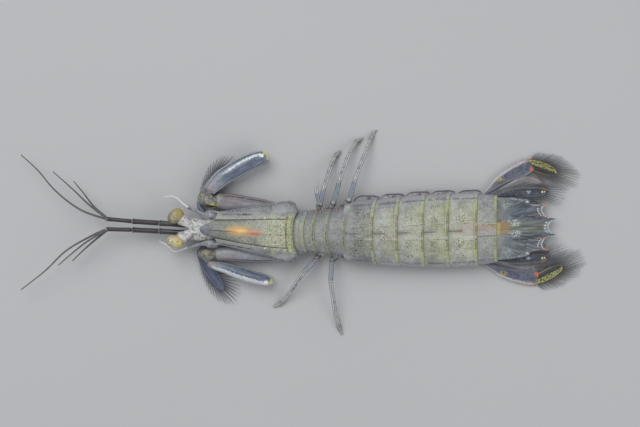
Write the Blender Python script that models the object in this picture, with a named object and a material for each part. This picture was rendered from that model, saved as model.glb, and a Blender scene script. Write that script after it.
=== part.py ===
"""A mantis shrimp of the squillid family, life size, as a still museum model.

Metres, +Z up. The animal faces -X, its right side is towards +Y, and it rests on the floor at Z = 0.
Lengths in the tables are millimetres along a straight body, and midline() then lays the body in its pose.
"""

import math

import bmesh
import bpy
import numpy as np
from mathutils import Matrix, Vector

MM = 0.001
GAP = 0.3
WELD = 0.000001
SIDES = (("right", 1), ("left", -1))

# The body's own line, in plan, and how far the body leans over to its left
BEND_X = 5.0
BEND_SHIFT = -0.3
HEAD_BEND = 0.0012
HEAD_STRAIGHT = 25.0
TAIL_BEND = 0.0006
TAIL_STRAIGHT = 50.0
TELSON_SLOPE = 0.035
CROWN = 10.0
LEAN = ((-10.0, 0.2), (-2.0, 0.16), (12.0, 0.12), (25.0, 0.06), (54.0, 0.0))

# Carapace: stations from front to rear as (share of length, half width, top, edge)
CARAPACE_FRONT = -24.6
CARAPACE_REAR = -2.4
CARAPACE_SHELL = 1.0
CARAPACE_RIM = 0.55
FRONT_CORNER_BACK = 1.2
REAR_LOBE_BACK = 1.6
REAR_LOBE_HALF_WIDTH = 6.4
CARAPACE_STATIONS = (
    (0.00, 4.6, 7.8, 5.9),
    (0.10, 5.0, 8.3, 5.9),
    (0.25, 5.7, 8.9, 5.9),
    (0.45, 6.7, 9.6, 5.9),
    (0.65, 7.6, 10.0, 5.9),
    (0.80, 8.4, 10.1, 5.9),
    (0.90, 8.7, 10.0, 5.9),
    (0.96, 8.2, 9.85, 6.1),
    (1.00, 6.4, 9.7, 6.6),
)
GROOVE_SHARE = 0.46
GROOVE_DEPTH = 0.3
RIDGE_HEIGHT = 0.22

# Trunk under the carapace: (x, half width, underside)
TRUNK_STATIONS = (
    (-24.8, 1.8, 3.8),
    (-20.0, 3.3, 3.1),
    (-12.0, 3.4, 3.0),
    (-6.0, 3.5, 3.0),
    (-3.2, 4.0, 3.2),
    (-1.6, 4.2, 3.5),
)

# Free somites behind the carapace: (name, length, half width at the rear, top, pleuron edge, sternum, bow)
SOMITES = (
    ("thorax_5", 2.8, 5.9, 9.1, 4.9, 3.5, 1.3),
    ("thorax_6", 3.0, 6.1, 9.0, 4.9, 3.5, 1.3),
    ("thorax_7", 3.8, 6.5, 9.0, 4.9, 3.5, 1.3),
    ("thorax_8", 4.8, 7.0, 9.2, 4.8, 3.5, 1.1),
    ("abdomen_1", 7.75, 9.2, 9.6, 3.4, 4.1, 0.9),
    ("abdomen_2", 6.95, 9.8, 9.8, 2.8, 4.2, 0.5),
    ("abdomen_3", 7.2, 10.3, 9.8, 2.6, 4.2, 0.4),
    ("abdomen_4", 7.0, 10.5, 9.7, 2.6, 4.2, 0.4),
    ("abdomen_5", 8.0, 10.4, 9.4, 2.7, 4.1, 0.3),
    ("abdomen_6", 5.6, 9.5, 8.4, 3.2, 3.9, 0.2),
)
FIRST_ABDOMINAL = 4
ABDOMEN_FRONT = 8.5
PLEURON_CORNER = 0.6
FRONT_STEP = 0.93
REAR_RECESS = 0.6
ARCH_POWER = 2.5
ARCH_ROUND = 0.48
ABDOMEN_RIDGES = (0.22, 0.52, 0.80)
THORAX_RIDGES = (0.80,)

# Telson: half outline from the median notch outwards as (share of half width, rear edge from its base)
TELSON_BASE = 54.5
TELSON_HALF_WIDTH = 8.8
TELSON_REAR = (
    (0.0, 15.1),
    (0.16, 15.75),
    (0.29, 16.3),
    (0.345, 17.75),
    (0.40, 15.5),
    (0.45, 14.65),
    (0.61, 13.75),
    (0.77, 13.4),
    (0.91, 13.95),
    (1.0, 15.45),
)
TELSON_WIDTHS = (
    (0.0, 1.0),
    (0.30, 0.985),
    (0.57, 0.925),
    (0.61, 0.88),
    (0.64, 0.795),
    (0.80, 0.77),
    (1.0, 0.74),
)
TELSON_TOP = (7.8, 3.2)
TELSON_EDGE_TOP = (5.0, 2.75)
TELSON_UNDER = (4.0, 2.1)
TELSON_RIDGE = 0.45

# Head: rows of (x, y, z, half width, half height)
ROSTRAL_PLATE = (
    (-24.95, 0.0, 7.45, 1.9, 0.35),
    (-26.2, 0.0, 7.5, 1.75, 0.4),
    (-27.4, 0.0, 7.5, 1.3, 0.4),
    (-28.2, 0.0, 7.45, 0.7, 0.35),
)
HEAD = (
    (-25.1, 0.0, 5.5, 2.3, 1.2),
    (-27.0, 0.0, 5.5, 2.5, 1.25),
    (-28.8, 0.0, 5.4, 2.8, 1.25),
    (-30.1, 0.0, 5.55, 2.8, 1.25),
    (-31.0, 0.0, 5.6, 2.1, 1.15),
)
EYE_STALK = (
    (-31.75, 1.15, 6.5, 0.8, 0.7),
    (-32.4, 1.75, 6.85, 1.15, 1.0),
    (-32.85, 2.05, 7.0, 1.2, 1.1),
)
CORNEA_CENTRE = {"right": (-35.2, 3.4, 7.4), "left": (-35.5, -3.7, 7.4)}
CORNEA_TURN = {"right": 43.0, "left": -8.0}
CORNEA_LOBE = (1.62, 1.9, 1.95)
CORNEA_LOBE_SPREAD = 0.93

# First antenna: joints of its stem, then the routes of its three whips
ANTENNULE_JOINTS = ((-31.5, 1.1, 4.75), (-40.2, 1.15, 4.7), (-47.7, 1.2, 5.3), (-55.0, 1.45, 5.8))
ANTENNULE_RADII = (0.82, 0.78, 0.64)
ANTENNULE_WHIPS = {
    "right": (
        ((-54.5, 1.25, 5.8), (-62.0, 3.6, 6.6), (-68.8, 8.3, 6.6), (-74.3, 14.1, 5.6), (-79.1, 18.0, 4.2)),
        ((-54.5, 1.45, 6.1), (-59.4, 5.1, 7.6), (-63.6, 9.0, 8.7), (-69.2, 13.7, 9.0)),
        ((-54.5, 1.6, 5.5), (-58.4, 4.7, 5.3), (-61.2, 8.0, 4.6), (-64.3, 11.4, 3.6)),
    ),
    "left": (
        ((-54.5, -1.25, 5.8), (-59.7, -4.0, 6.6), (-66.2, -8.3, 6.6), (-72.0, -14.1, 5.6), (-79.1, -20, 4.2)),
        ((-54.5, -1.45, 6.1), (-59.7, -5.0, 7.6), (-63.6, -8.3, 8.5), (-67.8, -12.2, 8.8)),
        ((-54.5, -1.6, 5.5), (-58.1, -4.7, 5.3), (-61.2, -7.5, 4.6), (-64.7, -11.0, 3.6)),
    ),
}
WHIP_STEPS = 2
WHIP_ROOT_RADIUS = 0.36
WHIP_TIP_RADIUS = 0.2

# Second antenna: (base y, base size, stem y) of each side, and the route of its whip
ANTENNA_BASE = {"right": (4.2, 1.5, 4.9), "left": (3.7, 1.15, 4.2)}
ANTENNA_WHIP = {
    "right": ((-31.9, 6.0, 4.3), (-33.6, 7.1, 4.5), (-34.9, 8.3, 4.7), (-36.9, 8.9, 4.9), (-38.9, 8.5, 4.9)),
    "left": ((-32, -5.1, 4.3), (-34.2, -6.0, 4.2), (-36, -6.5, 4.2), (-38, -4.9, 4.6), (-40.0, -4.0, 4.9)),
}
ANTENNA_WHIP_RADII = (0.42, 0.34, 0.32, 0.28, 0.18)

# Scale of the second antenna, for the right side, and how far each side's reaches
SCALE_STEM = ((-26.2, 4.0, 2.65, 0.7, 0.45), (-27.8, 5.0, 2.5, 0.7, 0.45), (-28.9, 6.5, 2.0, 0.85, 0.4))
SCALE_BLADE = (
    (-28.2, 8.2, 1.5, 1.3, 0.38),
    (-26.6, 11.2, 1.2, 1.75, 0.38),
    (-24.6, 14.4, 1.0, 1.5, 0.38),
    (-22.5, 17.4, 0.82, 0.6, 0.36),
)
SCALE_REACH = (
    (-28.9, 7.2, 1.4, 0.9),
    (-27.7, 9.0, 1.1, 1.8),
    (-25.5, 12.4, 0.85, 3.5),
    (-22.6, 16.0, 0.7, 4.7),
    (-19.8, 19.0, 0.65, 4.1),
    (-17.7, 20.9, 0.65, 1.9),
)
SCALE_REACH_SHARE = {"right": 1.0, "left": 0.95}
SCALE_VANES = 17

# Vanes that stand for the bristles of a fringe
VANE_HALF_WIDTH = 0.5
VANE_TAPER = 0.6
VANE_FLAT = 0.56
VANE_SINK = 0.7

# Striking claw: rows from joint to joint
CLAW_ARM = {
    "right": ((-4.9, 6.0, 3.2), (-8.6, 6.9, 3.0), (-12.5, 7.4, 3.0), (-20, 7.95, 3.3), (-23.3, 8.45, 4.0)),
    "left": ((-4.9, -6, 3.2), (-9.5, -6.2, 3.0), (-15, -6.25, 3.0), (-20, -6.25, 3.3), (-23.5, -6.7, 4.1)),
}
CLAW_ARM_SIZES = {
    "right": ((1.5, 1.7), (2.1, 2.2), (2.4, 2.2), (2.7, 2.05), (2.1, 1.75)),
    "left": ((1.5, 1.7), (2.2, 2.2), (2.25, 2.4), (2.25, 2.4), (1.7, 1.7)),
}
CLAW_ROOT_Y = {"right": 4.9, "left": 2.8}
CLAW_WRIST = {
    "right": ((-24.9, 8.1, 4.7), (-26.2, 8.35, 5.0), (-27.4, 8.9, 5.0), (-28.2, 9.5, 5.0)),
    "left": ((-25.0, -6.85, 4.6), (-26.3, -7.0, 5.0), (-27.5, -6.95, 5.0), (-28.4, -6.8, 4.9)),
}
CLAW_WRIST_SIZES = {
    "right": ((1.6, 1.4), (2.1, 1.65), (1.95, 1.5), (1.25, 1.1)),
    "left": ((1.3, 1.3), (1.6, 1.65), (1.5, 1.45), (0.95, 1.0)),
}
CLAW_HAND = {
    "right": (
        (-25.4, 11.7, 5.0, 1.65, 1.1),
        (-24.0, 13.3, 4.95, 2.05, 1.25),
        (-21.9, 15.3, 4.85, 2.3, 1.35),
        (-19.1, 17.2, 4.8, 2.4, 1.4),
        (-16.0, 19.1, 4.7, 2.4, 1.4),
        (-12.9, 20.6, 4.6, 2.25, 1.3),
        (-10.9, 21.3, 4.5, 1.9, 1.15),
        (-9.8, 21.6, 4.5, 1.25, 0.85),
    ),
    "left": (
        (-25.1, -9.8, 4.35, 1.05, 1.05),
        (-24.0, -10.0, 4.25, 1.25, 1.2),
        (-21.6, -10.45, 4.1, 1.5, 1.4),
        (-18.7, -11.3, 3.95, 1.8, 1.6),
        (-15.5, -12.2, 3.9, 1.9, 1.65),
        (-12.2, -13.0, 3.9, 1.75, 1.6),
        (-9.9, -13.45, 3.9, 1.5, 1.4),
        (-8.7, -13.55, 3.9, 0.95, 1.0),
    ),
}
CLAW_FINGER = {
    "right": (
        (-9.4, 20.2, 2.6, 0.5, 0.5),
        (-13.0, 18.8, 2.6, 0.6, 0.5),
        (-17.0, 16.9, 2.6, 0.55, 0.48),
        (-20.5, 14.5, 2.7, 0.45, 0.42),
        (-23.0, 12.3, 2.9, 0.25, 0.25),
    ),
    "left": (
        (-8.6, -12.6, 1.5, 0.5, 0.5),
        (-12.0, -11.9, 1.4, 0.6, 0.5),
        (-15.5, -11.1, 1.45, 0.55, 0.46),
        (-19.0, -9.8, 1.6, 0.45, 0.4),
        (-21.4, -8.9, 1.8, 0.25, 0.25),
    ),
}
FINGER_TEETH = ((0.18, 1.1), (0.34, 1.6), (0.50, 1.9), (0.66, 1.8), (0.80, 1.5))

# Walking legs: joints from the body to the tip, and the routes of their thin side branches
LEGS = {
    ("right", 1): (
        (4.6, 6.6, 3.2),
        (5.4, 9.2, 4.8),
        (6.2, 12.5, 5.6),
        (8.3, 19.2, 2.6),
        (9.5, 21.9, 1.0),
        (10.9, 23.2, 0.14),
    ),
    ("right", 2): (
        (8.2, 6.9, 3.2),
        (9.3, 9.6, 4.9),
        (10.6, 14.8, 5.6),
        (13.5, 22.8, 2.9),
        (15.6, 26.2, 1.0),
        (17.1, 26.9, 0.14),
    ),
    ("right", 3): (
        (12.3, 7.7, 3.0),
        (13.7, 10.3, 4.8),
        (15.0, 15.1, 5.4),
        (18.2, 23.4, 3.0),
        (19.6, 26.8, 1.1),
        (20.9, 29.2, 0.14),
    ),
    ("left", 1): (
        (4.4, -6.2, 3.1),
        (3.4, -8.1, 4.7),
        (0.7, -10.7, 5.3),
        (-3.1, -16.3, 2.4),
        (-5.6, -19.6, 0.9),
        (-7.7, -20.9, 0.14),
    ),
    ("left", 2): (
        (8.6, -6.7, 3.1),
        (8.5, -8.8, 4.7),
        (8.2, -13.4, 5.4),
        (9.5, -22.3, 2.9),
        (10.6, -26.3, 1.1),
        (11.4, -28.4, 0.14),
    ),
    ("left", 3): (
        (12.4, -7.0, 2.9),
        (11.4, -6.3, 2.6),
        (9.0, -5.0, 2.2),
        (4.0, -4.6, 1.3),
        (0.8, -4.2, 0.6),
        (-1.4, -3.9, 0.14),
    ),
}
LEG_RADII = (0.62, 0.56, 0.42)
LEG_KNOB = {"right": 0.9, "left": 0.65}
LEG_BRANCHES = {
    ("right", 1): ((4.9, 8.4, 5.0), (4.2, 12.2, 5.8), (4.4, 15.7, 5.2)),
    ("right", 2): ((8.6, 8.0, 4.5), (7.6, 7.6, 2.7), (6.8, 6.9, 1.4)),
    ("right", 3): ((12.9, 8.8, 4.4), (11.9, 8.4, 2.7), (11.0, 7.9, 1.4)),
    ("left", 1): ((4.2, -7.4, 4.6), (4.9, -6.9, 2.8), (5.5, -6.3, 1.5)),
    ("left", 2): ((8.4, -8.0, 4.5), (9.5, -7.6, 2.8), (10.4, -7.0, 1.5)),
    ("left", 3): ((12.6, -7.2, 3.9), (13.4, -5.9, 2.6), (14.0, -4.6, 1.5)),
}

# Swimmerets, from the middle of their somite: (along, y, z, half width, half height); the rim is its edge
SWIMMERET_BASE = ((-1.2, 4.9, 3.05, 1.6, 0.35), (-0.2, 4.9, 2.7, 2.3, 0.5), (1.2, 4.9, 2.1, 2.4, 0.5))
SWIMMERET_INNER = (
    (0.6, 3.5, 2.2, 0.9, 0.36),
    (3.0, 3.1, 1.3, 1.4, 0.33),
    (5.0, 3.0, 0.5, 1.2, 0.33),
    (6.4, 3.0, 0.24, 0.6, 0.32),
)
SWIMMERET_OUTER = (
    (0.0, -3.3, 1.8, 1.5, 0.34),
    (1.6, -2.4, 1.55, 2.3, 0.33),
    (4.4, -2.0, 1.1, 2.0, 0.33),
    (6.6, -1.9, 0.45, 1.4, 0.32),
)
SWIMMERET_RIM = {"right": 0.9, "left": -0.5}

# Uropods: rows along and across the tail fan's branches, from their root
UROPOD_ROOT = (51.5, 8.4)
UROPOD_SPLAY = {"right": 36.5, "left": 24.0}
UROPOD_LONG_PRONG = (
    (-1.6, -1.2, 1.9, 1.0, 0.65),
    (0.6, -0.6, 1.75, 1.5, 0.7),
    (3.2, -1.2, 1.15, 1.0, 0.45),
    (6.5, -1.65, 0.85, 0.95, 0.25),
    (11.5, -3.1, 0.95, 1.2, 0.2),
    (14.9, -5.8, 1.08, 0.85, 0.2),
    (16.3, -7.8, 1.08, 0.35, 0.2),
)
UROPOD_SHORT_PRONG = ((1.2, -0.2, 1.6, 0.6, 0.4), (5.0, -1.2, 0.75, 0.5, 0.35), (9.0, -3.0, 0.4, 0.3, 0.25))
UROPOD_PLATE = (
    (2.4, 1.2, 1.75, 0.65, 0.36),
    (3.8, 1.1, 1.65, 0.95, 0.36),
    (6.5, 1.25, 1.4, 1.35, 0.36),
    (10.5, 0.75, 1.1, 1.8, 0.36),
    (14.0, -0.15, 0.85, 2.2, 0.36),
    (16.6, -0.5, 0.72, 1.8, 0.34),
)
UROPOD_SPINES = 7

# The turned paddle, from its root: (along, across, height, half width)
PADDLE_ROOT = (16.2, 0.3)
PADDLE_TURN = {"right": -57.0, "left": -48.5}
PADDLE_THICKNESS = 0.7
PADDLE = (
    (-0.6, 0.0, 0.7, 0.85),
    (1.2, 0.0, 0.66, 1.35),
    (4.2, 0.0, 0.6, 1.6),
    (7.0, 0.0, 0.55, 1.25),
    (8.6, 0.0, 0.5, 0.5),
)
PADDLE_REACH = (
    (0.6, -0.2, 0.4, 2.3),
    (2.3, 0.0, 0.35, 3.9),
    (5.2, 0.1, 0.3, 4.4),
    (8.8, 0.1, 0.3, 4.2),
    (11.8, -0.2, 0.3, 3.5),
    (13.8, -0.3, 0.3, 1.9),
)
PADDLE_VANES = 18
UROPOD_INNER = {
    "right": (
        (54.6, 8.9, 2.25, 0.6, 0.28),
        (58.5, 9.8, 2.2, 1.2, 0.3),
        (63.5, 10.1, 2.1, 1.4, 0.3),
        (68.0, 10.0, 1.85, 1.1, 0.3),
        (69.8, 9.9, 1.75, 0.5, 0.3),
    ),
    "left": (
        (54.6, -8.2, 2.25, 0.6, 0.28),
        (58.5, -8.7, 2.2, 1.2, 0.3),
        (63.5, -8.8, 2.05, 1.4, 0.3),
        (68.0, -8.8, 1.85, 1.1, 0.3),
        (69.8, -8.7, 1.75, 0.5, 0.3),
    ),
}
UROPOD_INNER_REACH = {
    "right": ((62.0, 9.8, 1.85, 1.8), (66.5, 9.7, 1.85, 2.4), (71.0, 9.2, 1.75, 3.4), (75.0, 8.5, 1.6, 2.5)),
    "left": ((62, -8.6, 1.65, 1.9), (66.5, -8.4, 1.6, 2.6), (71, -7.6, 1.4, 3.15), (75.5, -7.05, 1.4, 2.2)),
}
UROPOD_INNER_VANES = 11


def midline(x):
    """Sideways place of the body's line at x, in millimetres."""
    along = x - BEND_X
    if along > 0:
        reach = min(along, TAIL_STRAIGHT)
        return BEND_SHIFT + TAIL_BEND * reach**2 + TELSON_SLOPE * (along - reach)
    reach = min(-along, HEAD_STRAIGHT)
    beyond = -along - reach
    return BEND_SHIFT + HEAD_BEND * reach * (reach + 2 * beyond)


def leaned(points):
    """Points of the trunk moved sideways below its crown, as the body leans."""
    table = np.array(LEAN)
    return [(x, y + (CROWN - z) * float(np.interp(x, table[:, 0], table[:, 1])), z) for x, y, z in points]


def laid(point):
    """A point in straight millimetres as a point of the posed animal in metres, never below the floor."""
    x, y, z = point
    return Vector((x, y + midline(x), max(z, 0.0))) * MM


def material(name, colour, roughness, metallic=0.0):
    """A Principled material."""
    made = bpy.data.materials.new(name)
    made.use_nodes = True
    shader = made.node_tree.nodes["Principled BSDF"]
    shader.inputs["Base Color"].default_value = (*colour, 1.0)
    shader.inputs["Roughness"].default_value = roughness
    shader.inputs["Metallic"].default_value = metallic
    return made


def turn_out(form):
    """Turns every face of a closed form outwards."""
    bmesh.ops.recalc_face_normals(form, faces=form.faces)
    if form.calc_volume(signed=True) < 0:
        bmesh.ops.reverse_faces(form, faces=form.faces)


def closed_mesh(name, points, faces, root):
    """A new object whose origin is at root, from points in straight millimetres."""
    origin = laid(root)
    form = bmesh.new()
    corners = [form.verts.new(laid(point) - origin) for point in points]
    for face in faces:
        form.faces.new([corners[i] for i in face])
    turn_out(form)
    mesh = bpy.data.meshes.new(name)
    form.to_mesh(mesh)
    form.free()
    made = bpy.data.objects.new(name, mesh)
    made.location = origin
    return made


def from_primitive(name, form, root):
    """A primitive made in straight millimetres, as an object laid in the pose."""
    form.verts.index_update()
    points = [vert.co[:] for vert in form.verts]
    faces = [[vert.index for vert in face.verts] for face in form.faces]
    form.free()
    return closed_mesh(name, points, faces, root)


def loft(name, rings, root, recess=None):
    """A closed solid through rings of equal count. Each end closes in a fan, sunk by recess if given."""
    count = len(rings[0])
    points = [tuple(point) for ring in rings for point in ring]
    faces = []
    for k in range(len(rings) - 1):
        for i in range(count):
            j = (i + 1) % count
            faces.append((k * count + i, k * count + j, (k + 1) * count + j, (k + 1) * count + i))
    for first, way in ((0, 1), ((len(rings) - 1) * count, -1)):
        pole = np.mean(np.array(points[first : first + count]), axis=0)
        if recess is not None:
            pole[0] = points[first][0] + way * recess
        points.append(tuple(pole))
        faces += [(first + i, first + (i + 1) % count, len(points) - 1) for i in range(count)]
    return closed_mesh(name, points, faces, root)


def slab(name, top, under, root):
    """A closed sheet between two grids of points of equal size."""
    rows, columns = len(top), len(top[0])
    layer = rows * columns
    points = [tuple(point) for grid in (top, under) for row in grid for point in row]
    faces = []
    for first in (0, layer):
        for r in range(rows - 1):
            for c in range(columns - 1):
                i = first + r * columns + c
                faces.append((i, i + 1, i + columns + 1, i + columns))
    rim = list(range(columns)) + [r * columns + columns - 1 for r in range(1, rows)]
    rim += [(rows - 1) * columns + c for c in range(columns - 2, -1, -1)]
    rim += [r * columns for r in range(rows - 2, 0, -1)]
    for i, j in zip(rim, rim[1:] + rim[:1]):
        faces.append((i, j, j + layer, i + layer))
    return closed_mesh(name, points, faces, root)


def smooth_rows(rows, steps):
    """Rows of numbers with Catmull-Rom rows put between them."""
    rows = np.array(rows, float)
    padded = np.vstack([2 * rows[0] - rows[1], rows, 2 * rows[-1] - rows[-2]])
    made = []
    for k in range(1, len(rows)):
        a, b, c, d = padded[k - 1 : k + 3]
        for step in range(steps):
            t = step / steps
            bend = (2 * a - 5 * b + 4 * c - d) * t**2 + (3 * b - a - 3 * c + d) * t**3
            made.append(0.5 * (2 * b + (c - a) * t + bend))
    made.append(rows[-1])
    return np.array(made)


def frames(rows):
    """Tangent, level side and up at each row of a limb's path."""
    tangents = np.gradient(rows[:, :3], axis=0)
    tangents /= np.linalg.norm(tangents, axis=1)[:, None]
    sides = np.cross((0, 0, 1), tangents)
    sides /= np.linalg.norm(sides, axis=1)[:, None]
    return tangents, sides, np.cross(tangents, sides)


def limb(name, rows, sides=8, steps=2, blunt=0.3):
    """A limb or blade through rows of (x, y, z, half width, half height), its ends drawn in."""
    root = rows[0][:3]
    rows = smooth_rows(rows, steps)
    tangents, across, rise = frames(rows)
    turns = [2 * math.pi * (i + 0.5) / sides for i in range(sides)]
    rings = []
    for row, wide, high in zip(rows, across, rise):
        rings.append([row[:3] + wide * row[3] * math.cos(a) + high * row[4] * math.sin(a) for a in turns])
    if blunt:
        for place, row, along in ((0, rows[0], -tangents[0]), (len(rings) + 1, rows[-1], tangents[-1])):
            ring = rings[0] if place == 0 else rings[-1]
            centre = row[:3] + along * blunt * min(row[3], row[4])
            rings.insert(place, [centre + (point - row[:3]) * 0.6 for point in ring])
    return loft(name, rings, root)


def spine(root, tip, radius, taper=0.3, flat=1.0):
    """A four-sided spine, or a bristle vane, from root to tip, squashed from above by flat."""
    root, tip = Vector(root), Vector(tip)
    turn = (tip - root).to_track_quat("Z", "Y").to_matrix().to_4x4()
    form = bmesh.new()
    bmesh.ops.create_cone(
        form, cap_ends=True, segments=4, radius1=radius, radius2=radius * taper, depth=(tip - root).length,
        matrix=Matrix.Translation((root + tip) / 2) @ turn @ Matrix.Diagonal((1.0, flat, 1.0, 1.0)),
    )
    return from_primitive("spine", form, root)


def evaluated_mesh(made):
    """The mesh of an object of the scene as its modifier or its bevel makes it."""
    graph = bpy.context.evaluated_depsgraph_get()
    return bpy.data.meshes.new_from_object(made.evaluated_get(graph))


def whip(name, path, thick, thin):
    """A tapered whip along a smooth path: a bevelled curve with filled ends, made a closed mesh."""
    rows = smooth_rows(path, WHIP_STEPS)
    origin = laid(rows[0])
    curve = bpy.data.curves.new(name, "CURVE")
    curve.dimensions = "3D"
    curve.bevel_depth = MM
    curve.bevel_resolution = 1
    curve.use_fill_caps = True
    line = curve.splines.new("POLY")
    line.points.add(len(rows) - 1)
    for point, row, radius in zip(line.points, rows, np.linspace(thick, thin, len(rows))):
        point.co = (*(laid(row) - origin), 1.0)
        point.radius = radius
    tube = bpy.data.objects.new(name, curve)
    bpy.context.scene.collection.objects.link(tube)
    mesh = evaluated_mesh(tube)
    bpy.data.objects.remove(tube)
    form = bmesh.new()
    form.from_mesh(mesh)
    bmesh.ops.remove_doubles(form, verts=form.verts, dist=WELD)
    turn_out(form)
    form.to_mesh(mesh)
    form.free()
    made = bpy.data.objects.new(name, mesh)
    made.location = origin
    return made


def outline(rows):
    """A blade's margin from its root along one edge, round the tip and back along the other."""
    rows = smooth_rows(rows, 3)
    across = frames(rows)[1] * rows[:, 3:4]
    return np.vstack([rows[:, :3] + across, (rows[:, :3] - across)[::-1]])


def spaced(line, shares):
    """Points at shares of a line's length."""
    steps = np.linalg.norm(np.diff(line, axis=0), axis=1)
    reached = np.concatenate([[0.0], np.cumsum(steps)]) / steps.sum()
    return np.array([[np.interp(share, reached, line[:, k]) for k in range(3)] for share in shares])


def fringe(blade, reach, count, first, last):
    """Flat vanes of bristles from a blade's margin out to the margin of a wider shape round it."""
    blade = np.array(blade)[:, :4]
    shares = np.linspace(first, last, count)
    vanes = []
    for root, tip in zip(spaced(outline(blade), shares), spaced(outline(reach), shares)):
        way = (tip - root) / np.linalg.norm(tip - root)
        vanes.append(spine(root - way * VANE_SINK, tip, VANE_HALF_WIDTH, VANE_TAPER, VANE_FLAT))
    return vanes


def keep_largest(mesh):
    """Drops every loose scrap or sealed hollow but the largest closed surface."""
    form = bmesh.new()
    form.from_mesh(mesh)
    left = set(form.verts)
    parts = []
    while left:
        part, edge = set(), [next(iter(left))]
        while edge:
            vert = edge.pop()
            if vert in part:
                continue
            part.add(vert)
            edge += [e.other_vert(vert) for e in vert.link_edges]
        left -= part
        parts.append(part)
    keep = max(parts, key=len)
    bmesh.ops.delete(form, geom=[v for v in form.verts if v not in keep], context="VERTS")
    form.to_mesh(mesh)
    form.free()


def fuse(name, pieces):
    """One closed object from pieces that run into each other, with the first one's origin."""
    body, *rest = pieces
    if not rest:
        return body
    scene = bpy.context.scene.collection
    group = bpy.data.collections.new(name + "_pieces")
    scene.children.link(group)
    scene.objects.link(body)
    for piece in rest:
        group.objects.link(piece)
    union = body.modifiers.new("Union", "BOOLEAN")
    union.operation = "UNION"
    union.operand_type = "COLLECTION"
    union.collection = group
    union.solver = "MANIFOLD"
    made = bpy.data.objects.new(name, evaluated_mesh(body))
    made.location = body.location
    for piece in pieces:
        bpy.data.objects.remove(piece)
    bpy.data.collections.remove(group)
    keep_largest(made.data)
    return made


def add_node(made, name, finish, parent):
    """Names a finished object, gives it its material and puts it under the animal."""
    made.name = name
    made.data.name = name
    made.data.materials.clear()
    made.data.materials.append(finish)
    made.data.shade_smooth()
    made.data.set_sharp_from_angle(angle=math.radians(40))
    parent.users_collection[0].objects.link(made)
    made.parent = parent
    return made


def arch(share, half_width, top, edge):
    """Height of a plate at a share of its half width."""
    return edge + (top - edge) * (1 - min(abs(share), 1.0) ** ARCH_POWER) ** ARCH_ROUND


def mirrored(half):
    """A closed ring from its +Y half, which starts and ends on the midline."""
    return half + [(x, -y, z) for x, y, z in reversed(half[1:-1])]


def carapace_at(share):
    """Half width, top and edge of the carapace at a share of its length."""
    table = np.array(CARAPACE_STATIONS)
    return [float(np.interp(share, table[:, 0], table[:, k])) for k in (1, 2, 3)]


def carapace_x(share, across):
    """Where a station of the carapace lies at a share of its half width: both ends are curved."""
    front = CARAPACE_FRONT + FRONT_CORNER_BACK * across**2
    rear = CARAPACE_REAR - GAP + REAR_LOBE_BACK * abs(across) ** 3
    return front + share * (rear - front)


def carapace():
    """The shield: a thin arched shell with a median ridge, two long grooves and front corner spines."""
    groove = (GROOVE_SHARE - 0.06, GROOVE_SHARE, GROOVE_SHARE + 0.06)
    half = (0.0, 0.08, 0.22, *groove, 0.7, 0.84, 0.94, 1.0)
    shares = [-share for share in half[:0:-1]] + list(half)
    top, under = [], []
    for share, half_width, crown, edge in CARAPACE_STATIONS:
        upper, lower = [], []
        for across in shares:
            rise = RIDGE_HEIGHT if across == 0.0 else -GROOVE_DEPTH if abs(across) == GROOVE_SHARE else 0.0
            x = carapace_x(share, across)
            upper.append((x, across * half_width, arch(across, half_width, crown, edge) + rise))
            inner = arch(across, half_width, crown - CARAPACE_SHELL, edge - 0.4)
            lower.append((x, across * (half_width - CARAPACE_RIM), inner))
        top.append(leaned(upper))
        under.append(leaned(lower))
    pieces = [slab("shield", top, under, (CARAPACE_FRONT, 0.0, CARAPACE_STATIONS[0][2]))]
    for _, side in SIDES:
        pieces.append(spine(*leaned([(-22.9, side * 4.2, 6.3), (-25.0, side * 4.8, 6.2)]), 0.4))
    return fuse("carapace", pieces)


def trunk():
    """The soft body under the carapace."""
    rings = []
    for x, half_width, under in TRUNK_STATIONS:
        share = (x - CARAPACE_FRONT) / (CARAPACE_REAR - CARAPACE_FRONT)
        shell = CARAPACE_SHELL + GAP + (0.2 if x > -4 else 0.0)
        top = carapace_at(min(max(share, 0.0), 1.0))[1] - shell
        half = [
            (x, 0, top),
            (x, 0.5 * half_width, top - 0.2),
            (x, 0.85 * half_width, top - 1.2),
            (x, half_width, (top + under) / 2),
            (x, 0.8 * half_width, under + 0.5),
            (x, 0, under),
        ]
        rings.append(leaned(mirrored(half)))
    return loft("trunk", rings, (TRUNK_STATIONS[0][0], 0.0, TRUNK_STATIONS[0][2]))


def core():
    """The trunk with the mouth below its front and the fifth thoracic somite at its rear."""
    lip = [(-21.5, 0, 3.2, 1.3, 0.9), (-19.5, 0, 2.6, 1.9, 1.2), (-17.0, 0, 2.9, 1.5, 1.0)]
    pieces = [trunk(), somite_solid(0), limb("lip", lip)]
    for _, side in SIDES:
        jaw = [(-16.8, 1.6, 3.2, 1.0, 0.9), (-15.2, 1.5, 2.9, 1.2, 0.9), (-13.2, 1.5, 3.1, 0.9, 0.9)]
        pieces.append(limb("jaw", [(x, side * y, *rest) for x, y, *rest in jaw], sides=6))
    return fuse("cephalothorax", pieces)


def somite_starts():
    """The x of each free somite's front at the midline, and of the last one's rear."""
    starts = [CARAPACE_REAR]
    for row in SOMITES:
        starts.append(starts[-1] + row[1])
    return starts


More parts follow.
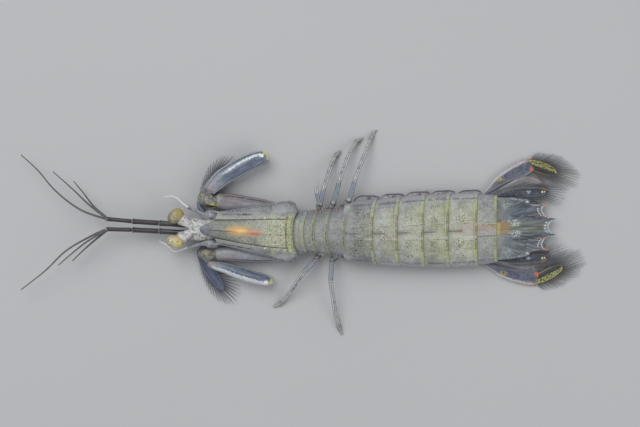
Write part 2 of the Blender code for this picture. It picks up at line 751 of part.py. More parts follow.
def somite_ring(index, along, shrink, drop, x_shift):
    """A cross-section of a somite at a share of its length."""
    _, length, rear_half, top, edge, sternum, bow = SOMITES[index]
    before = SOMITES[max(index - 1, 0)]
    start = somite_starts()[index]
    abdomen = index >= FIRST_ABDOMINAL
    front_half = ABDOMEN_FRONT if index == FIRST_ABDOMINAL else before[2]
    full = front_half + (rear_half - front_half) * along**0.7
    top = before[3] * (1 - along) + top * along - drop
    edge = before[4] * (1 - along) + edge * along + drop * 0.4
    bow = before[6] * (1 - along) + bow * along
    half_width = full * shrink
    ridges = ABDOMEN_RIDGES if abdomen else THORAX_RIDGES

    def x_at(across):
        share = min(across * shrink, 1.0)
        place = start + along * length + x_shift
        curved = bow * share**2 + (PLEURON_CORNER * share**6 if abdomen else 0.0)
        if index == 0:
            lobe = REAR_LOBE_BACK * (share * full / REAR_LOBE_HALF_WIDTH) ** 3
            return place + curved * along + lobe * (1 - along)
        return place + curved

    shares = sorted({0.0, 0.66, 0.92, 1.0, *(r + d for r in ridges for d in (-0.05, 0.0, 0.05))})
    half = []
    for across in shares:
        rise = RIDGE_HEIGHT if across in ridges else 0.0
        half.append((x_at(across), across * half_width, arch(across, half_width, top, edge) + rise))
    belly = sternum - edge
    if abdomen:
        under = [(1.0, -0.2, -0.35), (1.0, -0.9, -0.1), (1.0, -1.7, belly - 0.5)]
    else:
        under = [(1.0, -0.3, -0.5), (1.0, -1.3, belly + 0.3)]
    under += [(0.5, 0.0, belly), (0.0, 0.0, belly + 0.1)]
    for scale, inset, lift in under:
        y = scale * half_width + inset
        half.append((x_at(y / half_width), y, edge + lift))
    return leaned(mirrored(half))


def somite_solid(index):
    """One free somite: low front step, full middle, slightly drawn-in rear rim."""
    name, length, _, top = SOMITES[index][:4]
    rings = [
        somite_ring(index, 0.0, FRONT_STEP, 0.5, GAP),
        somite_ring(index, min(0.9 / length, 0.3), 0.975, 0.12, 0.0),
        somite_ring(index, 0.6, 1.0, 0.0, 0.0),
        somite_ring(index, 1.0, 1.0, -0.05, -GAP / 2),
    ]
    return loft(name, rings, (somite_starts()[index], 0.0, top), REAR_RECESS)


def somite(index):
    """A free somite with the small spines that its kind has at its sides or rear."""
    name, length, half_width, _, edge, _, bow = SOMITES[index]
    start = somite_starts()[index]
    pieces = [somite_solid(index)]
    for _, side in SIDES:
        if index < FIRST_ABDOMINAL:
            root, reach = side * (half_width - 0.9), side * (half_width + 0.5)
            x = start + bow + 0.3 * length
            pieces.append(spine(*leaned([(x + 0.2, root, edge + 1.3), (x - 0.3, reach, edge + 1.2)]), 0.45))
        elif index == len(SOMITES) - 1:
            x = start + length
            for across, height in ((0.25, 5.1), (0.55, 4.7), (0.85, 3.2)):
                y = side * across * half_width
                pieces.append(spine((x - 1.4, y, edge + height - 0.2), (x + 0.9, y, edge + height), 0.34))
    return fuse(name, pieces)


def telson():
    """The tail plate: a thin shield whose rear edge is drawn out into paired teeth, with a median ridge."""
    columns = [(-share, reach) for share, reach in TELSON_REAR[:0:-1]] + list(TELSON_REAR)
    bow, ratio = SOMITES[-1][6], TELSON_HALF_WIDTH / SOMITES[-1][2]
    top_rows, under_rows = [], []
    for along, width in TELSON_WIDTHS:
        crown, rim, floor = (a + (b - a) * along for a, b in (TELSON_TOP, TELSON_EDGE_TOP, TELSON_UNDER))
        top_row, under_row = [], []
        for share, reach in columns:
            hollow = bow * (share * ratio) ** 2 + PLEURON_CORNER * (share * ratio) ** 6
            x = TELSON_BASE + GAP + along * (reach - GAP / 2) + (1 - along) * hollow
            y = share * TELSON_HALF_WIDTH * width
            ridge = TELSON_RIDGE * (1 - along) if share == 0.0 else 0.0
            top_row.append((x, y, rim + (crown - rim) * (1 - share**2) + ridge))
            under_row.append((x, y, floor))
        top_rows.append(leaned(top_row))
        under_rows.append(leaned(under_row))
    pieces = [slab("plate", top_rows, under_rows, (TELSON_BASE, 0.0, TELSON_TOP[0]))]
    for _, side in SIDES:
        pieces.append(spine((62.0, side * 7.6, 3.9), (64.6, side * 7.65, 3.3), 0.4))
    return fuse("telson", pieces)


def rostral_plate():
    """The small hinged plate over the head."""
    return limb("rostral_plate", ROSTRAL_PLATE, sides=10, steps=1, blunt=0.0)


def head():
    """The somites that carry the eyes and antennules, with their small side spines."""
    pieces = [limb("core", HEAD, sides=10, steps=1, blunt=0.0)]
    for _, side in SIDES:
        pieces.append(spine((-29.8, side * 1.5, 6.0), (-31.0, side * 3.1, 6.3), 0.45))
    return fuse("head", pieces)


def eye_stalk(side):
    """A short stalk that widens towards the cornea."""
    return limb("stalk", [(x, side * y, *rest) for x, y, *rest in EYE_STALK])


def cornea(name):
    """The two-lobed eye, set slantwise on its stalk."""
    centre = CORNEA_CENTRE[name]
    turned = Matrix.Translation(centre) @ Matrix.Rotation(math.radians(CORNEA_TURN[name]), 4, "Z")
    lobes = []
    for way in (-1, 1):
        form = bmesh.new()
        lobe = Matrix.Translation((way * CORNEA_LOBE_SPREAD, 0, 0)) @ Matrix.Diagonal((*CORNEA_LOBE, 1.0))
        bmesh.ops.create_uvsphere(form, u_segments=10, v_segments=8, radius=1.0, matrix=turned @ lobe)
        lobes.append(from_primitive("lobe", form, centre))
    return fuse("eye_" + name, lobes)


def antennule(name, side):
    """Three long segments end to end, then three whips."""
    rows = []
    for a, b, radius in zip(ANTENNULE_JOINTS, ANTENNULE_JOINTS[1:], ANTENNULE_RADII):
        for share, scale in ((0.03, 0.8), (0.12, 1.0), (0.85, 1.0), (0.95, 1.08)):
            x, y, z = np.array(a) * (1 - share) + np.array(b) * share
            rows.append((x, side * y, z, radius * scale, radius * scale))
    pieces = [limb("stem", rows, steps=1)]
    for path in ANTENNULE_WHIPS[name]:
        pieces.append(whip("whip", path, WHIP_ROOT_RADIUS, WHIP_TIP_RADIUS))
    return fuse("antennule_" + name, pieces)


def antenna(name, side):
    """The second antenna: round base, thin stem and a short pale whip."""
    base_y, size, stem_y = ANTENNA_BASE[name]
    rows = [
        (-25.2, side * base_y, 4.6, 0.7 * size, 0.8),
        (-26.0, side * base_y, 4.5, size, 1.15),
        (-26.9, side * base_y, 4.5, 0.7, 0.8),
        (-27.6, side * (base_y + stem_y) / 2, 4.4, 0.5, 0.5),
        (-28.9, side * stem_y, 4.3, 0.5, 0.5),
    ]
    rows += [(*place, radius, radius) for place, radius in zip(ANTENNA_WHIP[name], ANTENNA_WHIP_RADII)]
    return limb("antenna", rows, sides=6, steps=1)


def antennal_scale(name, side):
    """The broad leaf of the second antenna, fringed with bristles."""
    share = SCALE_REACH_SHARE[name]
    blade = [(x, side * y * share, *rest) for x, y, *rest in SCALE_BLADE]
    reach = [(x, side * y * share, *rest) for x, y, *rest in SCALE_REACH]
    stem = [(x, side * y, *rest) for x, y, *rest in SCALE_STEM]
    vanes = fringe(blade, reach, SCALE_VANES, 0.04, 0.96)
    return fuse("antennal_scale_" + name, [limb("blade", stem + blade, sides=6), *vanes])


def claw_arm(name, side):
    """The long arm of the striking claw, with its root under the trunk."""
    rows = [(*place, *size) for place, size in zip(CLAW_ARM[name], CLAW_ARM_SIZES[name])]
    root = [(-6.6, side * CLAW_ROOT_Y[name], 4.3, 0.8, 0.7), (-6.9, side * 6.2, 3.7, 0.9, 0.9)]
    pieces = [limb("arm", rows, sides=10), limb("root", root, sides=6, steps=1, blunt=0.0)]
    return fuse("claw_arm_" + name, pieces)


def claw_wrist(name):
    """The short knuckle between arm and hand."""
    rows = [(*place, *size) for place, size in zip(CLAW_WRIST[name], CLAW_WRIST_SIZES[name])]
    return limb("wrist", rows, sides=10, steps=1)


def claw_hand(name):
    """The flattened hand, folded back beside the arm."""
    return limb("hand", CLAW_HAND[name], steps=1)


def claw_finger(name, side):
    """The toothed finger, shut under the hand's inner margin."""
    rows = CLAW_FINGER[name]
    smooth = smooth_rows(rows, 2)
    tangents, across, _ = frames(smooth)
    pieces = [limb("finger", rows, sides=6)]
    for share, reach in FINGER_TEETH:
        k = round(share * (len(smooth) - 1))
        outward = across[k] if across[k][1] * side > 0 else -across[k]
        root = smooth[k][:3]
        pieces.append(spine(root, root + (outward * 0.9 + tangents[k] * 0.45) * reach, 0.3))
    return fuse("claw_finger_" + name, pieces)


def leg(name, number):
    """A walking leg: knob, three segments that narrow at each joint, and its thin side branch."""
    joints = np.array(LEGS[(name, number)])
    knob = LEG_KNOB[name]
    bulge = joints[0] * 0.4 + joints[1] * 0.6
    rows = [(*joints[0], 0.55, 0.55), (*bulge, knob, knob), (*joints[1], 0.58, 0.58)]
    for k, radius in zip((1, 2, 3), LEG_RADII):
        a, b = joints[k], joints[k + 1]
        for share, scale in ((0.15, 1.0), (0.8, 0.9 if k == 1 else 0.8), (0.95, 1.0)):
            rows.append((*(a + (b - a) * share), radius * scale, radius * scale))
    rows.append((*joints[5], 0.2, 0.22))
    branch = [(*p, w, w * 0.7) for p, w in zip(LEG_BRANCHES[(name, number)], (0.42, 0.5, 0.28))]
    pieces = [limb("leg", rows, sides=6, steps=1), limb("branch", branch, sides=6, steps=1, blunt=0.0)]
    return fuse(f"leg_{number}_{name}", pieces)


def maxilliped(side, number):
    """A small folded limb under the mouth that ends in a rounded paddle."""
    step = number - 3
    rear, front = -9.5 + 2.6 * step, -17.5 + 1.9 * step
    y = side * (0.8 + 1.25 * step)
    rows = [
        (rear, y, 2.4, 0.45, 0.45),
        (rear - 2.2, y, 1.6, 0.45, 0.45),
        ((rear + front) / 2, y, 1.0, 0.4, 0.4),
        (front + 1.0, y, 0.75, 0.45, 0.45),
        (front, y, 0.75, 0.45, 0.5),
    ]
    return limb("maxilliped", rows, sides=6, steps=1)


def swimmeret(index, name, side):
    """A swimmeret: a broad base and two leaves that lie back along the belly."""
    starts = somite_starts()
    x = (starts[index] + starts[index + 1]) / 2 - 0.6
    rim = SOMITES[index][2] + SWIMMERET_RIM[name]
    outer = [(along, rim + y, *rest) for along, y, *rest in SWIMMERET_OUTER]
    pieces = []
    for rows in (SWIMMERET_BASE, outer, SWIMMERET_INNER):
        places = leaned([(x + along, side * y, z) for along, y, z, _, _ in rows])
        laid_rows = [(*place, *row[3:]) for place, row in zip(places, rows)]
        pieces.append(limb("leaf", laid_rows, sides=6, steps=1, blunt=0.0))
    return fuse("swimmeret", pieces)


def splayed(name, side, rows):
    """Rows given along and across a uropod, turned out from its root."""
    turn = math.radians(UROPOD_SPLAY[name])
    made = []
    for along, across, *rest in rows:
        x = UROPOD_ROOT[0] + along * math.cos(turn) - across * math.sin(turn)
        y = UROPOD_ROOT[1] + along * math.sin(turn) + across * math.cos(turn)
        made.append((x, side * y, *rest))
    return made


def uropod_base(name, side):
    """The stem of the tail fan with its two long prongs."""
    prongs = (UROPOD_LONG_PRONG, UROPOD_SHORT_PRONG)
    return fuse("uropod_base_" + name, [limb("prong", splayed(name, side, rows), steps=1) for rows in prongs])


def paddle_rows(name, side, rows):
    """Rows of the outer branch's turned paddle, or of the reach of its bristles."""
    turn = math.radians(PADDLE_TURN[name])
    made = []
    for along, across, *rest in rows:
        x = PADDLE_ROOT[0] + along * math.cos(turn) - across * math.sin(turn)
        y = PADDLE_ROOT[1] + along * math.sin(turn) + across * math.cos(turn)
        made.append((x, y, *rest))
    return splayed(name, side, made)


def edge_spines(plate, side):
    """Spines along the outer edge of the tail fan's plate, longer towards its end."""
    shares = np.linspace(0.27, 0.46, UROPOD_SPINES)
    roots = spaced(outline([row[:4] for row in plate]), shares if side > 0 else 1 - shares)
    middle = np.array(plate[3][:3])
    spines = []
    for k, root in enumerate(roots):
        away = (root - middle) / np.linalg.norm(root - middle)
        way = away * 0.6 + np.array((0.8, 0.0, 0.0))
        spines.append(spine(root - way * 0.5, root + way * (0.4 + 0.1 * k), 0.3))
    return spines


def uropod_outer(name, side):
    """The outer branch of the tail fan: spined plate, turned paddle and the paddle's fringe."""
    plate = splayed(name, side, UROPOD_PLATE)
    paddle = [(*row, PADDLE_THICKNESS / 2) for row in paddle_rows(name, side, PADDLE)]
    vanes = fringe(paddle, paddle_rows(name, side, PADDLE_REACH), PADDLE_VANES, 0.06, 0.94)
    blades = [limb("plate", plate, steps=1), limb("paddle", paddle, sides=6, steps=1)]
    return fuse("uropod_outer_" + name, blades + edge_spines(plate, side) + vanes)


def uropod_inner(name):
    """The slim inner branch of the tail fan and its fringe."""
    rows = UROPOD_INNER[name]
    vanes = fringe(rows[2:], UROPOD_INNER_REACH[name], UROPOD_INNER_VANES, 0.02, 0.98)
    return fuse("uropod_inner_" + name, [limb("blade", rows, sides=6), *vanes])


def clear_scene():
    """Leaves no object of the start-up scene."""
    for made in list(bpy.data.objects):
        bpy.data.objects.remove(made)


def main():
    clear_scene()
    animal = bpy.data.collections.new("mantis_shrimp")
    bpy.context.scene.collection.children.link(animal)
    root = bpy.data.objects.new("mantis_shrimp", None)
    animal.objects.link(root)

    shell = material("shell", (0.52, 0.53, 0.46), 0.35)
    flesh = material("soft_body", (0.55, 0.52, 0.50), 0.5)
    limb_shell = material("limb_shell", (0.62, 0.63, 0.62), 0.35)
    claw_shell = material("claw_shell", (0.45, 0.50, 0.56), 0.3)
    feeler = material("feeler", (0.32, 0.29, 0.28), 0.4)
    eye = material("eye", (0.72, 0.66, 0.36), 0.15)
    fan = material("tail_fan", (0.30, 0.32, 0.40), 0.35)
    leaf = material("swimmeret", (0.60, 0.58, 0.58), 0.4)

    add_node(carapace(), "carapace", shell, root)
    add_node(core(), "cephalothorax", flesh, root)
    add_node(rostral_plate(), "rostral_plate", shell, root)
    add_node(head(), "head", flesh, root)
    for index in range(1, len(SOMITES)):
        add_node(somite(index), SOMITES[index][0], shell, root)
    add_node(telson(), "telson", shell, root)
    for name, side in SIDES:
        add_node(eye_stalk(side), "eye_stalk_" + name, flesh, root)
        add_node(cornea(name), "eye_" + name, eye, root)
        add_node(antennule(name, side), "antennule_" + name, feeler, root)
        add_node(antenna(name, side), "antenna_" + name, feeler, root)
        add_node(antennal_scale(name, side), "antennal_scale_" + name, fan, root)
        add_node(claw_arm(name, side), "claw_arm_" + name, claw_shell, root)
        add_node(claw_wrist(name), "claw_wrist_" + name, claw_shell, root)
        add_node(claw_hand(name), "claw_hand_" + name, claw_shell, root)
        add_node(claw_finger(name, side), "claw_finger_" + name, claw_shell, root)
        for number in (1, 2, 3):
            add_node(leg(name, number), f"leg_{number}_{name}", limb_shell, root)
        for number in (3, 4, 5):
            add_node(maxilliped(side, number), f"maxilliped_{number}_{name}", limb_shell, root)
        for number in (1, 2, 3, 4, 5):
            index = FIRST_ABDOMINAL + number - 1
            add_node(swimmeret(index, name, side), f"swimmeret_{number}_{name}", leaf, root)
        add_node(uropod_base(name, side), "uropod_base_" + name, fan, root)
        add_node(uropod_outer(name, side), "uropod_outer_" + name, fan, root)
        add_node(uropod_inner(name), "uropod_inner_" + name, fan, root)


main()
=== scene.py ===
"""A mantis shrimp of the squillid family as a life-size museum model, dressed over its CAD frame.

Lengths in the tables are millimetres along a straight body, which midline() lays in the pose.
"""

import math
from collections import namedtuple

import bmesh
import bpy
import numpy as np
from bpy.props import FloatProperty, FloatVectorProperty, IntProperty, PointerProperty
from mathutils import Matrix, Vector


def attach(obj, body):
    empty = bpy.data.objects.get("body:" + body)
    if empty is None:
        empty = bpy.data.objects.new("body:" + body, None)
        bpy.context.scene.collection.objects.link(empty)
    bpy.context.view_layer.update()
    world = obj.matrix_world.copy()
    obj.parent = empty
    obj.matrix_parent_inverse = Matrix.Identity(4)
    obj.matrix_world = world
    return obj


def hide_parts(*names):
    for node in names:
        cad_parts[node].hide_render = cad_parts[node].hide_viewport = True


bl_info = {
    "name": "Mantis shrimp model",
    "version": (1, 0, 0),
    "blender": (4, 5, 0),
    "location": "3D View > Sidebar > Mantis shrimp",
    "description": "Builds a spearing mantis shrimp plate by plate, with its bristles and its studio",
    "category": "Add Mesh",
}

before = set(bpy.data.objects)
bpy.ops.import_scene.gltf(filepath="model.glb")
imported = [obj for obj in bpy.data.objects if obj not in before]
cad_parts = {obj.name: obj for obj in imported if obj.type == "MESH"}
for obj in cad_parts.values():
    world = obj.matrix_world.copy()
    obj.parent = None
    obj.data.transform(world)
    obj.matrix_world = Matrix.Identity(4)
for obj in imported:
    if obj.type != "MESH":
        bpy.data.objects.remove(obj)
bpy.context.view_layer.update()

MM = 0.001
SIDES = (("right", 1), ("left", -1))
Form = namedtuple("Form", "points faces places")

# The body's own line in plan, and how far the body leans over to its left
BEND_X, BEND_SHIFT = 5.0, -0.3
HEAD_BEND, HEAD_STRAIGHT = 0.0012, 25.0
TAIL_BEND, TAIL_STRAIGHT = 0.0006, 50.0
TELSON_SLOPE = 0.035
CROWN = 10.0
LEAN = np.array(((-10.0, 0.2), (-2.0, 0.16), (12.0, 0.12), (25.0, 0.06), (54.0, 0.0)))

# Carapace: stations from front to rear as (share of length, half width, top, edge)
CARAPACE_FRONT, CARAPACE_REAR = -24.6, -2.4
FRONT_CORNER_BACK, REAR_LOBE_BACK, REAR_LOBE_HALF_WIDTH = 1.2, 1.6, 6.4
CARAPACE_STATIONS = np.array((
    (0.00, 4.6, 7.8, 5.9),
    (0.10, 5.0, 8.3, 5.9),
    (0.25, 5.7, 8.9, 5.9),
    (0.45, 6.7, 9.6, 5.9),
    (0.65, 7.6, 10.0, 5.9),
    (0.80, 8.4, 10.1, 5.9),
    (0.90, 8.7, 10.0, 5.9),
    (0.96, 8.2, 9.85, 6.1),
    (1.00, 6.4, 9.7, 6.6),
))
GROOVE_LINE = np.array(((-25.0, 2.45), (-14.0, 3.5), (-9.4, 3.85), (-3.0, 4.1)))

# Free somites: (name, length, half width at the rear, top, pleuron edge, sternum, bow)
SOMITES = (
    ("thorax_5", 2.8, 5.9, 9.1, 4.9, 3.5, 1.3),
    ("thorax_6", 3.0, 6.1, 9.0, 4.9, 3.5, 1.3),
    ("thorax_7", 3.8, 6.5, 9.0, 4.9, 3.5, 1.3),
    ("thorax_8", 4.8, 7.0, 9.2, 4.8, 3.5, 1.1),
    ("abdomen_1", 7.75, 9.2, 9.6, 3.4, 4.1, 0.9),
    ("abdomen_2", 6.95, 9.8, 9.8, 2.8, 4.2, 0.5),
    ("abdomen_3", 7.2, 10.3, 9.8, 2.6, 4.2, 0.4),
    ("abdomen_4", 7.0, 10.5, 9.7, 2.6, 4.2, 0.4),
    ("abdomen_5", 8.0, 10.4, 9.4, 2.7, 4.1, 0.3),
    ("abdomen_6", 5.6, 9.5, 8.4, 3.2, 3.9, 0.2),
)
FIRST_ABDOMINAL, ABDOMEN_FRONT, PLEURON_CORNER = 4, 8.5, 0.6

# How light and how blue each somite's plate is, from the front
SOMITE_LIGHT = (
    (1.2, 1.22), (1.03, 1.1), (1.04, 1.14), (0.99, 1.17), (0.98, 1.12),
    (1.37, 1.09), (1.5, 1.06), (1.38, 0.98), (1.62, 1.01), (1.4, 1.15),
)
ABDOMEN_RIDGES, THORAX_RIDGES = (0.20, 0.47, 0.72, 0.93), (0.80,)

# Telson: rear edge from the median notch outwards as (share of half width, distance from its base)
TELSON_BASE, TELSON_HALF_WIDTH = 54.5, 8.8
TELSON_REAR = np.array((
    (0.0, 15.05), (0.06, 15.35), (0.13, 15.5), (0.2, 15.7), (0.27, 16.2), (0.315, 17.1), (0.345, 17.75),
    (0.365, 16.9), (0.40, 15.5), (0.45, 14.65), (0.52, 14.1), (0.61, 13.75), (0.70, 13.45), (0.79, 13.4),
    (0.87, 13.6), (0.92, 13.95), (0.965, 14.7), (1.0, 15.45),
))
TELSON_WIDTHS = np.array(
    ((0.0, 1.0), (0.30, 0.985), (0.57, 0.925), (0.61, 0.88), (0.64, 0.795), (0.80, 0.77), (1.0, 0.74))
)
TELSON_TOP, TELSON_EDGE_TOP, TELSON_UNDER = (7.8, 3.2), (5.0, 2.75), (4.0, 2.1)

# Flesh from the head back into the thorax: (x, y, z, half width, half height)
TRUNK = (
    (-31.3, 0.0, 5.65, 2.3, 0.95),
    (-30.2, 0.0, 5.7, 3.1, 1.25),
    (-28.8, 0.0, 5.65, 3.05, 1.35),
    (-27.0, 0.05, 5.6, 2.8, 1.35),
    (-25.4, 0.35, 5.3, 2.7, 1.3),
    (-23.0, 0.85, 5.1, 3.0, 1.7),
    (-20.0, 0.95, 5.3, 3.3, 2.1),
    (-12.0, 0.9, 5.6, 3.4, 2.5),
    (-6.0, 0.8, 5.8, 3.6, 2.6),
    (-2.0, 0.65, 6.0, 4.2, 2.5),
    (2.0, 0.55, 6.1, 4.4, 2.3),
)
ROSTRAL_PLATE = (
    (-24.6, 0.0, 7.4, 1.95, 0.3),
    (-25.6, 0.0, 7.5, 1.9, 0.36),
    (-26.7, 0.0, 7.5, 1.62, 0.4),
    (-27.6, 0.0, 7.48, 1.15, 0.38),
    (-28.2, 0.0, 7.42, 0.6, 0.3),
)
EYE_STALK = (
    (-30.9, 0.9, 6.1, 1.0, 0.85),
    (-31.8, 1.4, 6.5, 1.2, 1.0),
    (-32.7, 2.0, 6.85, 1.45, 1.2),
    (-33.7, 2.55, 7.1, 1.65, 1.4),
)
CORNEA_CENTRE = {"right": (-35.2, 3.4, 7.4), "left": (-35.5, -3.7, 7.4)}
CORNEA_TURN = {"right": 43.0, "left": -8.0}
CORNEA_HALF = (2.5, 1.9, 1.93)
CORNEA_WAIST = 0.05

# First antenna: joints of its stem, their radii, and the routes of its three whips
ANTENNULE_JOINTS = ((-31.2, 1.1, 4.75), (-40.2, 1.15, 4.7), (-47.7, 1.2, 5.3), (-55.0, 1.45, 5.8))
ANTENNULE_RADII = (0.8, 0.76, 0.62)
ANTENNULE_WHIPS = {
    "right": (
        ((-54.5, 1.25, 5.8), (-62.0, 3.6, 6.6), (-68.8, 8.3, 6.6), (-74.3, 14.1, 5.6), (-79.1, 18.0, 4.2)),
        ((-54.5, 1.45, 6.1), (-59.4, 5.1, 7.6), (-63.6, 9.0, 8.7), (-69.2, 13.7, 9.0)),
        ((-54.5, 1.6, 5.5), (-58.4, 4.7, 5.3), (-61.2, 8.0, 4.6), (-64.3, 11.4, 3.6)),
    ),
    "left": (
        ((-54.5, -1.25, 5.8), (-59.7, -4.0, 6.6), (-66.2, -8.3, 6.6), (-72.0, -14.1, 5.6), (-79.1, -20, 4.2)),
        ((-54.5, -1.45, 6.1), (-59.7, -5.0, 7.6), (-63.6, -8.3, 8.5), (-67.8, -12.2, 8.8)),
        ((-54.5, -1.6, 5.5), (-58.1, -4.7, 5.3), (-61.2, -7.5, 4.6), (-64.7, -11.0, 3.6)),
    ),
}

# Second antenna: (base y, base size, stem y) of each side, and the route of its whip
ANTENNA_BASE = {"right": (3.95, 1.75, 4.9), "left": (3.75, 1.3, 4.2)}
ANTENNA_WHIP = {
    "right": ((-31.9, 6.0, 4.3), (-33.6, 7.1, 4.5), (-34.9, 8.3, 4.7), (-36.9, 8.9, 4.9), (-38.9, 8.5, 4.9)),
    "left": ((-32, -5.1, 4.3), (-34.2, -6.0, 4.2), (-36, -6.5, 4.2), (-38, -4.9, 4.6), (-40.0, -4.0, 4.9)),
}
SCALE_STEM = ((-26.2, 4.0, 2.65, 0.7, 0.45), (-27.8, 5.0, 2.5, 0.7, 0.45), (-28.9, 6.5, 2.0, 0.85, 0.4))
SCALE_BLADE = (
    (-28.2, 8.2, 1.5, 1.35, 0.3),
    (-26.6, 11.2, 1.2, 1.75, 0.28),
    (-24.8, 14.1, 1.0, 1.5, 0.26),
    (-23.2, 16.5, 0.85, 1.05, 0.24),
    (-22.5, 17.5, 0.82, 0.5, 0.22),
)
SCALE_REACH = (
    (-28.9, 7.2, 1.4, 0.9),
    (-27.7, 9.0, 1.1, 1.8),
    (-25.5, 12.4, 0.85, 3.5),
    (-22.6, 16.0, 0.7, 4.7),
    (-19.8, 19.0, 0.65, 4.1),
    (-17.7, 20.9, 0.65, 1.9),
)
SCALE_REACH_SHARE = {"right": 1.0, "left": 0.95}

# Striking claw
CLAW_ARM = {
    "right": ((-4.9, 6.0, 3.2), (-8.6, 6.9, 3.0), (-12.5, 7.4, 3.0), (-20.0, 7.95, 3.3), (-23.3, 8.45, 4.0)),
    "left": ((-4.9, -6.0, 3.2), (-9.5, -6.2, 3.0), (-15.0, -6.25, 3.0), (-20, -6.25, 3.3), (-23.5, -6.7, 4.1)),
}
CLAW_ARM_SIZES = {
    "right": ((1.5, 1.7), (2.1, 2.2), (2.4, 2.2), (2.7, 2.05), (2.1, 1.75)),
    "left": ((1.5, 1.7), (2.2, 2.2), (2.25, 2.4), (2.25, 2.4), (1.7, 1.7)),
}
CLAW_ROOT_Y = {"right": 4.9, "left": 2.8}
CLAW_WRIST = {
    "right": ((-24.9, 8.1, 4.7), (-26.2, 8.35, 5.0), (-27.4, 8.9, 5.0), (-28.2, 9.5, 5.0)),
    "left": ((-25.0, -6.85, 4.6), (-26.3, -7.0, 5.0), (-27.5, -6.95, 5.0), (-28.4, -6.8, 4.9)),
}
CLAW_WRIST_SIZES = {
    "right": ((1.6, 1.4), (2.1, 1.65), (1.95, 1.5), (1.25, 1.1)),
    "left": ((1.3, 1.3), (1.6, 1.65), (1.5, 1.45), (0.95, 1.0)),
}
CLAW_HAND = {
    "right": (
        (-25.7, 11.4, 5.0, 1.6, 1.05),
        (-24.0, 13.3, 4.95, 2.05, 1.25),
        (-21.9, 15.3, 4.85, 2.3, 1.35),
        (-19.1, 17.2, 4.8, 2.4, 1.4),
        (-16.0, 19.1, 4.7, 2.4, 1.4),
        (-12.9, 20.6, 4.6, 2.25, 1.3),
        (-10.9, 21.3, 4.5, 1.9, 1.15),
        (-9.8, 21.6, 4.5, 1.25, 0.85),
    ),
    "left": (
        (-25.8, -9.45, 4.5, 1.0, 1.0),
        (-24.0, -10.0, 4.25, 1.25, 1.2),
        (-21.6, -10.45, 4.1, 1.5, 1.4),
        (-18.7, -11.3, 3.95, 1.8, 1.6),
        (-15.5, -12.2, 3.9, 1.9, 1.65),
        (-12.2, -13.0, 3.9, 1.75, 1.6),
        (-9.9, -13.45, 3.9, 1.5, 1.4),
        (-8.7, -13.55, 3.9, 0.95, 1.0),
    ),
}
CLAW_FINGER = {
    "right": (
        (-9.4, 20.4, 3.0, 0.55, 0.5),
        (-13.0, 18.8, 2.7, 0.6, 0.5),
        (-17.0, 16.9, 2.6, 0.55, 0.48),
        (-20.5, 14.5, 2.7, 0.45, 0.42),
        (-23.2, 12.1, 2.9, 0.2, 0.2),
    ),
    "left": (
        (-8.6, -12.7, 1.9, 0.55, 0.5),
        (-12.0, -11.9, 1.5, 0.6, 0.5),
        (-15.5, -11.1, 1.45, 0.55, 0.46),
        (-19.0, -9.8, 1.6, 0.45, 0.4),
        (-21.6, -8.8, 1.8, 0.2, 0.2),
    ),
}
FINGER_TEETH = ((0.16, 1.1), (0.32, 1.6), (0.48, 1.9), (0.64, 1.8), (0.79, 1.5))
COMB_TEETH = 34

# Walking legs: joints from the body to the tip, and the routes of their thin side branches
LEGS = {
    ("right", 1): ((4.6, 6.6, 3.2), (5.4, 9.2, 4.8), (6.2, 12.5, 5.6), (8.3, 19.2, 2.6), (9.5, 21.9, 1.0),
                   (10.9, 23.2, 0.14)),
    ("right", 2): ((8.2, 6.9, 3.2), (9.3, 9.6, 4.9), (10.6, 14.8, 5.6), (13.5, 22.8, 2.9), (15.6, 26.2, 1.0),
                   (17.1, 26.9, 0.14)),
    ("right", 3): ((12.3, 7.7, 3.0), (13.7, 10.3, 4.8), (15.0, 15.1, 5.4), (18.2, 23.4, 3.0),
                   (19.6, 26.8, 1.1), (20.9, 29.2, 0.14)),
    ("left", 1): ((4.4, -6.2, 3.1), (3.4, -8.1, 4.7), (0.7, -10.7, 5.3), (-3.1, -16.3, 2.4),
                  (-5.6, -19.6, 0.9), (-7.7, -20.9, 0.14)),
    ("left", 2): ((8.6, -6.7, 3.1), (8.5, -8.8, 4.7), (8.2, -13.4, 5.4), (9.5, -22.3, 2.9),
                  (10.6, -26.3, 1.1), (11.4, -28.4, 0.14)),
    ("left", 3): ((12.4, -7.0, 2.9), (11.4, -6.3, 2.6), (9.0, -5.0, 2.2), (4.0, -4.6, 1.3), (0.8, -4.2, 0.6),
                  (-1.4, -3.9, 0.14)),
}
LEG_RADII = (0.72, 0.64, 0.5)
LEG_KNOB = {"right": 0.9, "left": 0.65}
LEG_BRANCHES = {
    ("right", 1): ((4.9, 8.4, 5.0), (4.2, 12.2, 5.8), (4.4, 15.7, 5.2)),
    ("right", 2): ((8.6, 8.0, 4.5), (7.6, 7.6, 2.7), (6.8, 6.9, 1.4)),
    ("right", 3): ((12.9, 8.8, 4.4), (11.9, 8.4, 2.7), (11.0, 7.9, 1.4)),
    ("left", 1): ((4.2, -7.4, 4.6), (4.9, -6.9, 2.8), (5.5, -6.3, 1.5)),
    ("left", 2): ((8.4, -8.0, 4.5), (9.5, -7.6, 2.8), (10.4, -7.0, 1.5)),
    ("left", 3): ((12.6, -7.2, 3.9), (13.4, -5.9, 2.6), (14.0, -4.6, 1.5)),
}

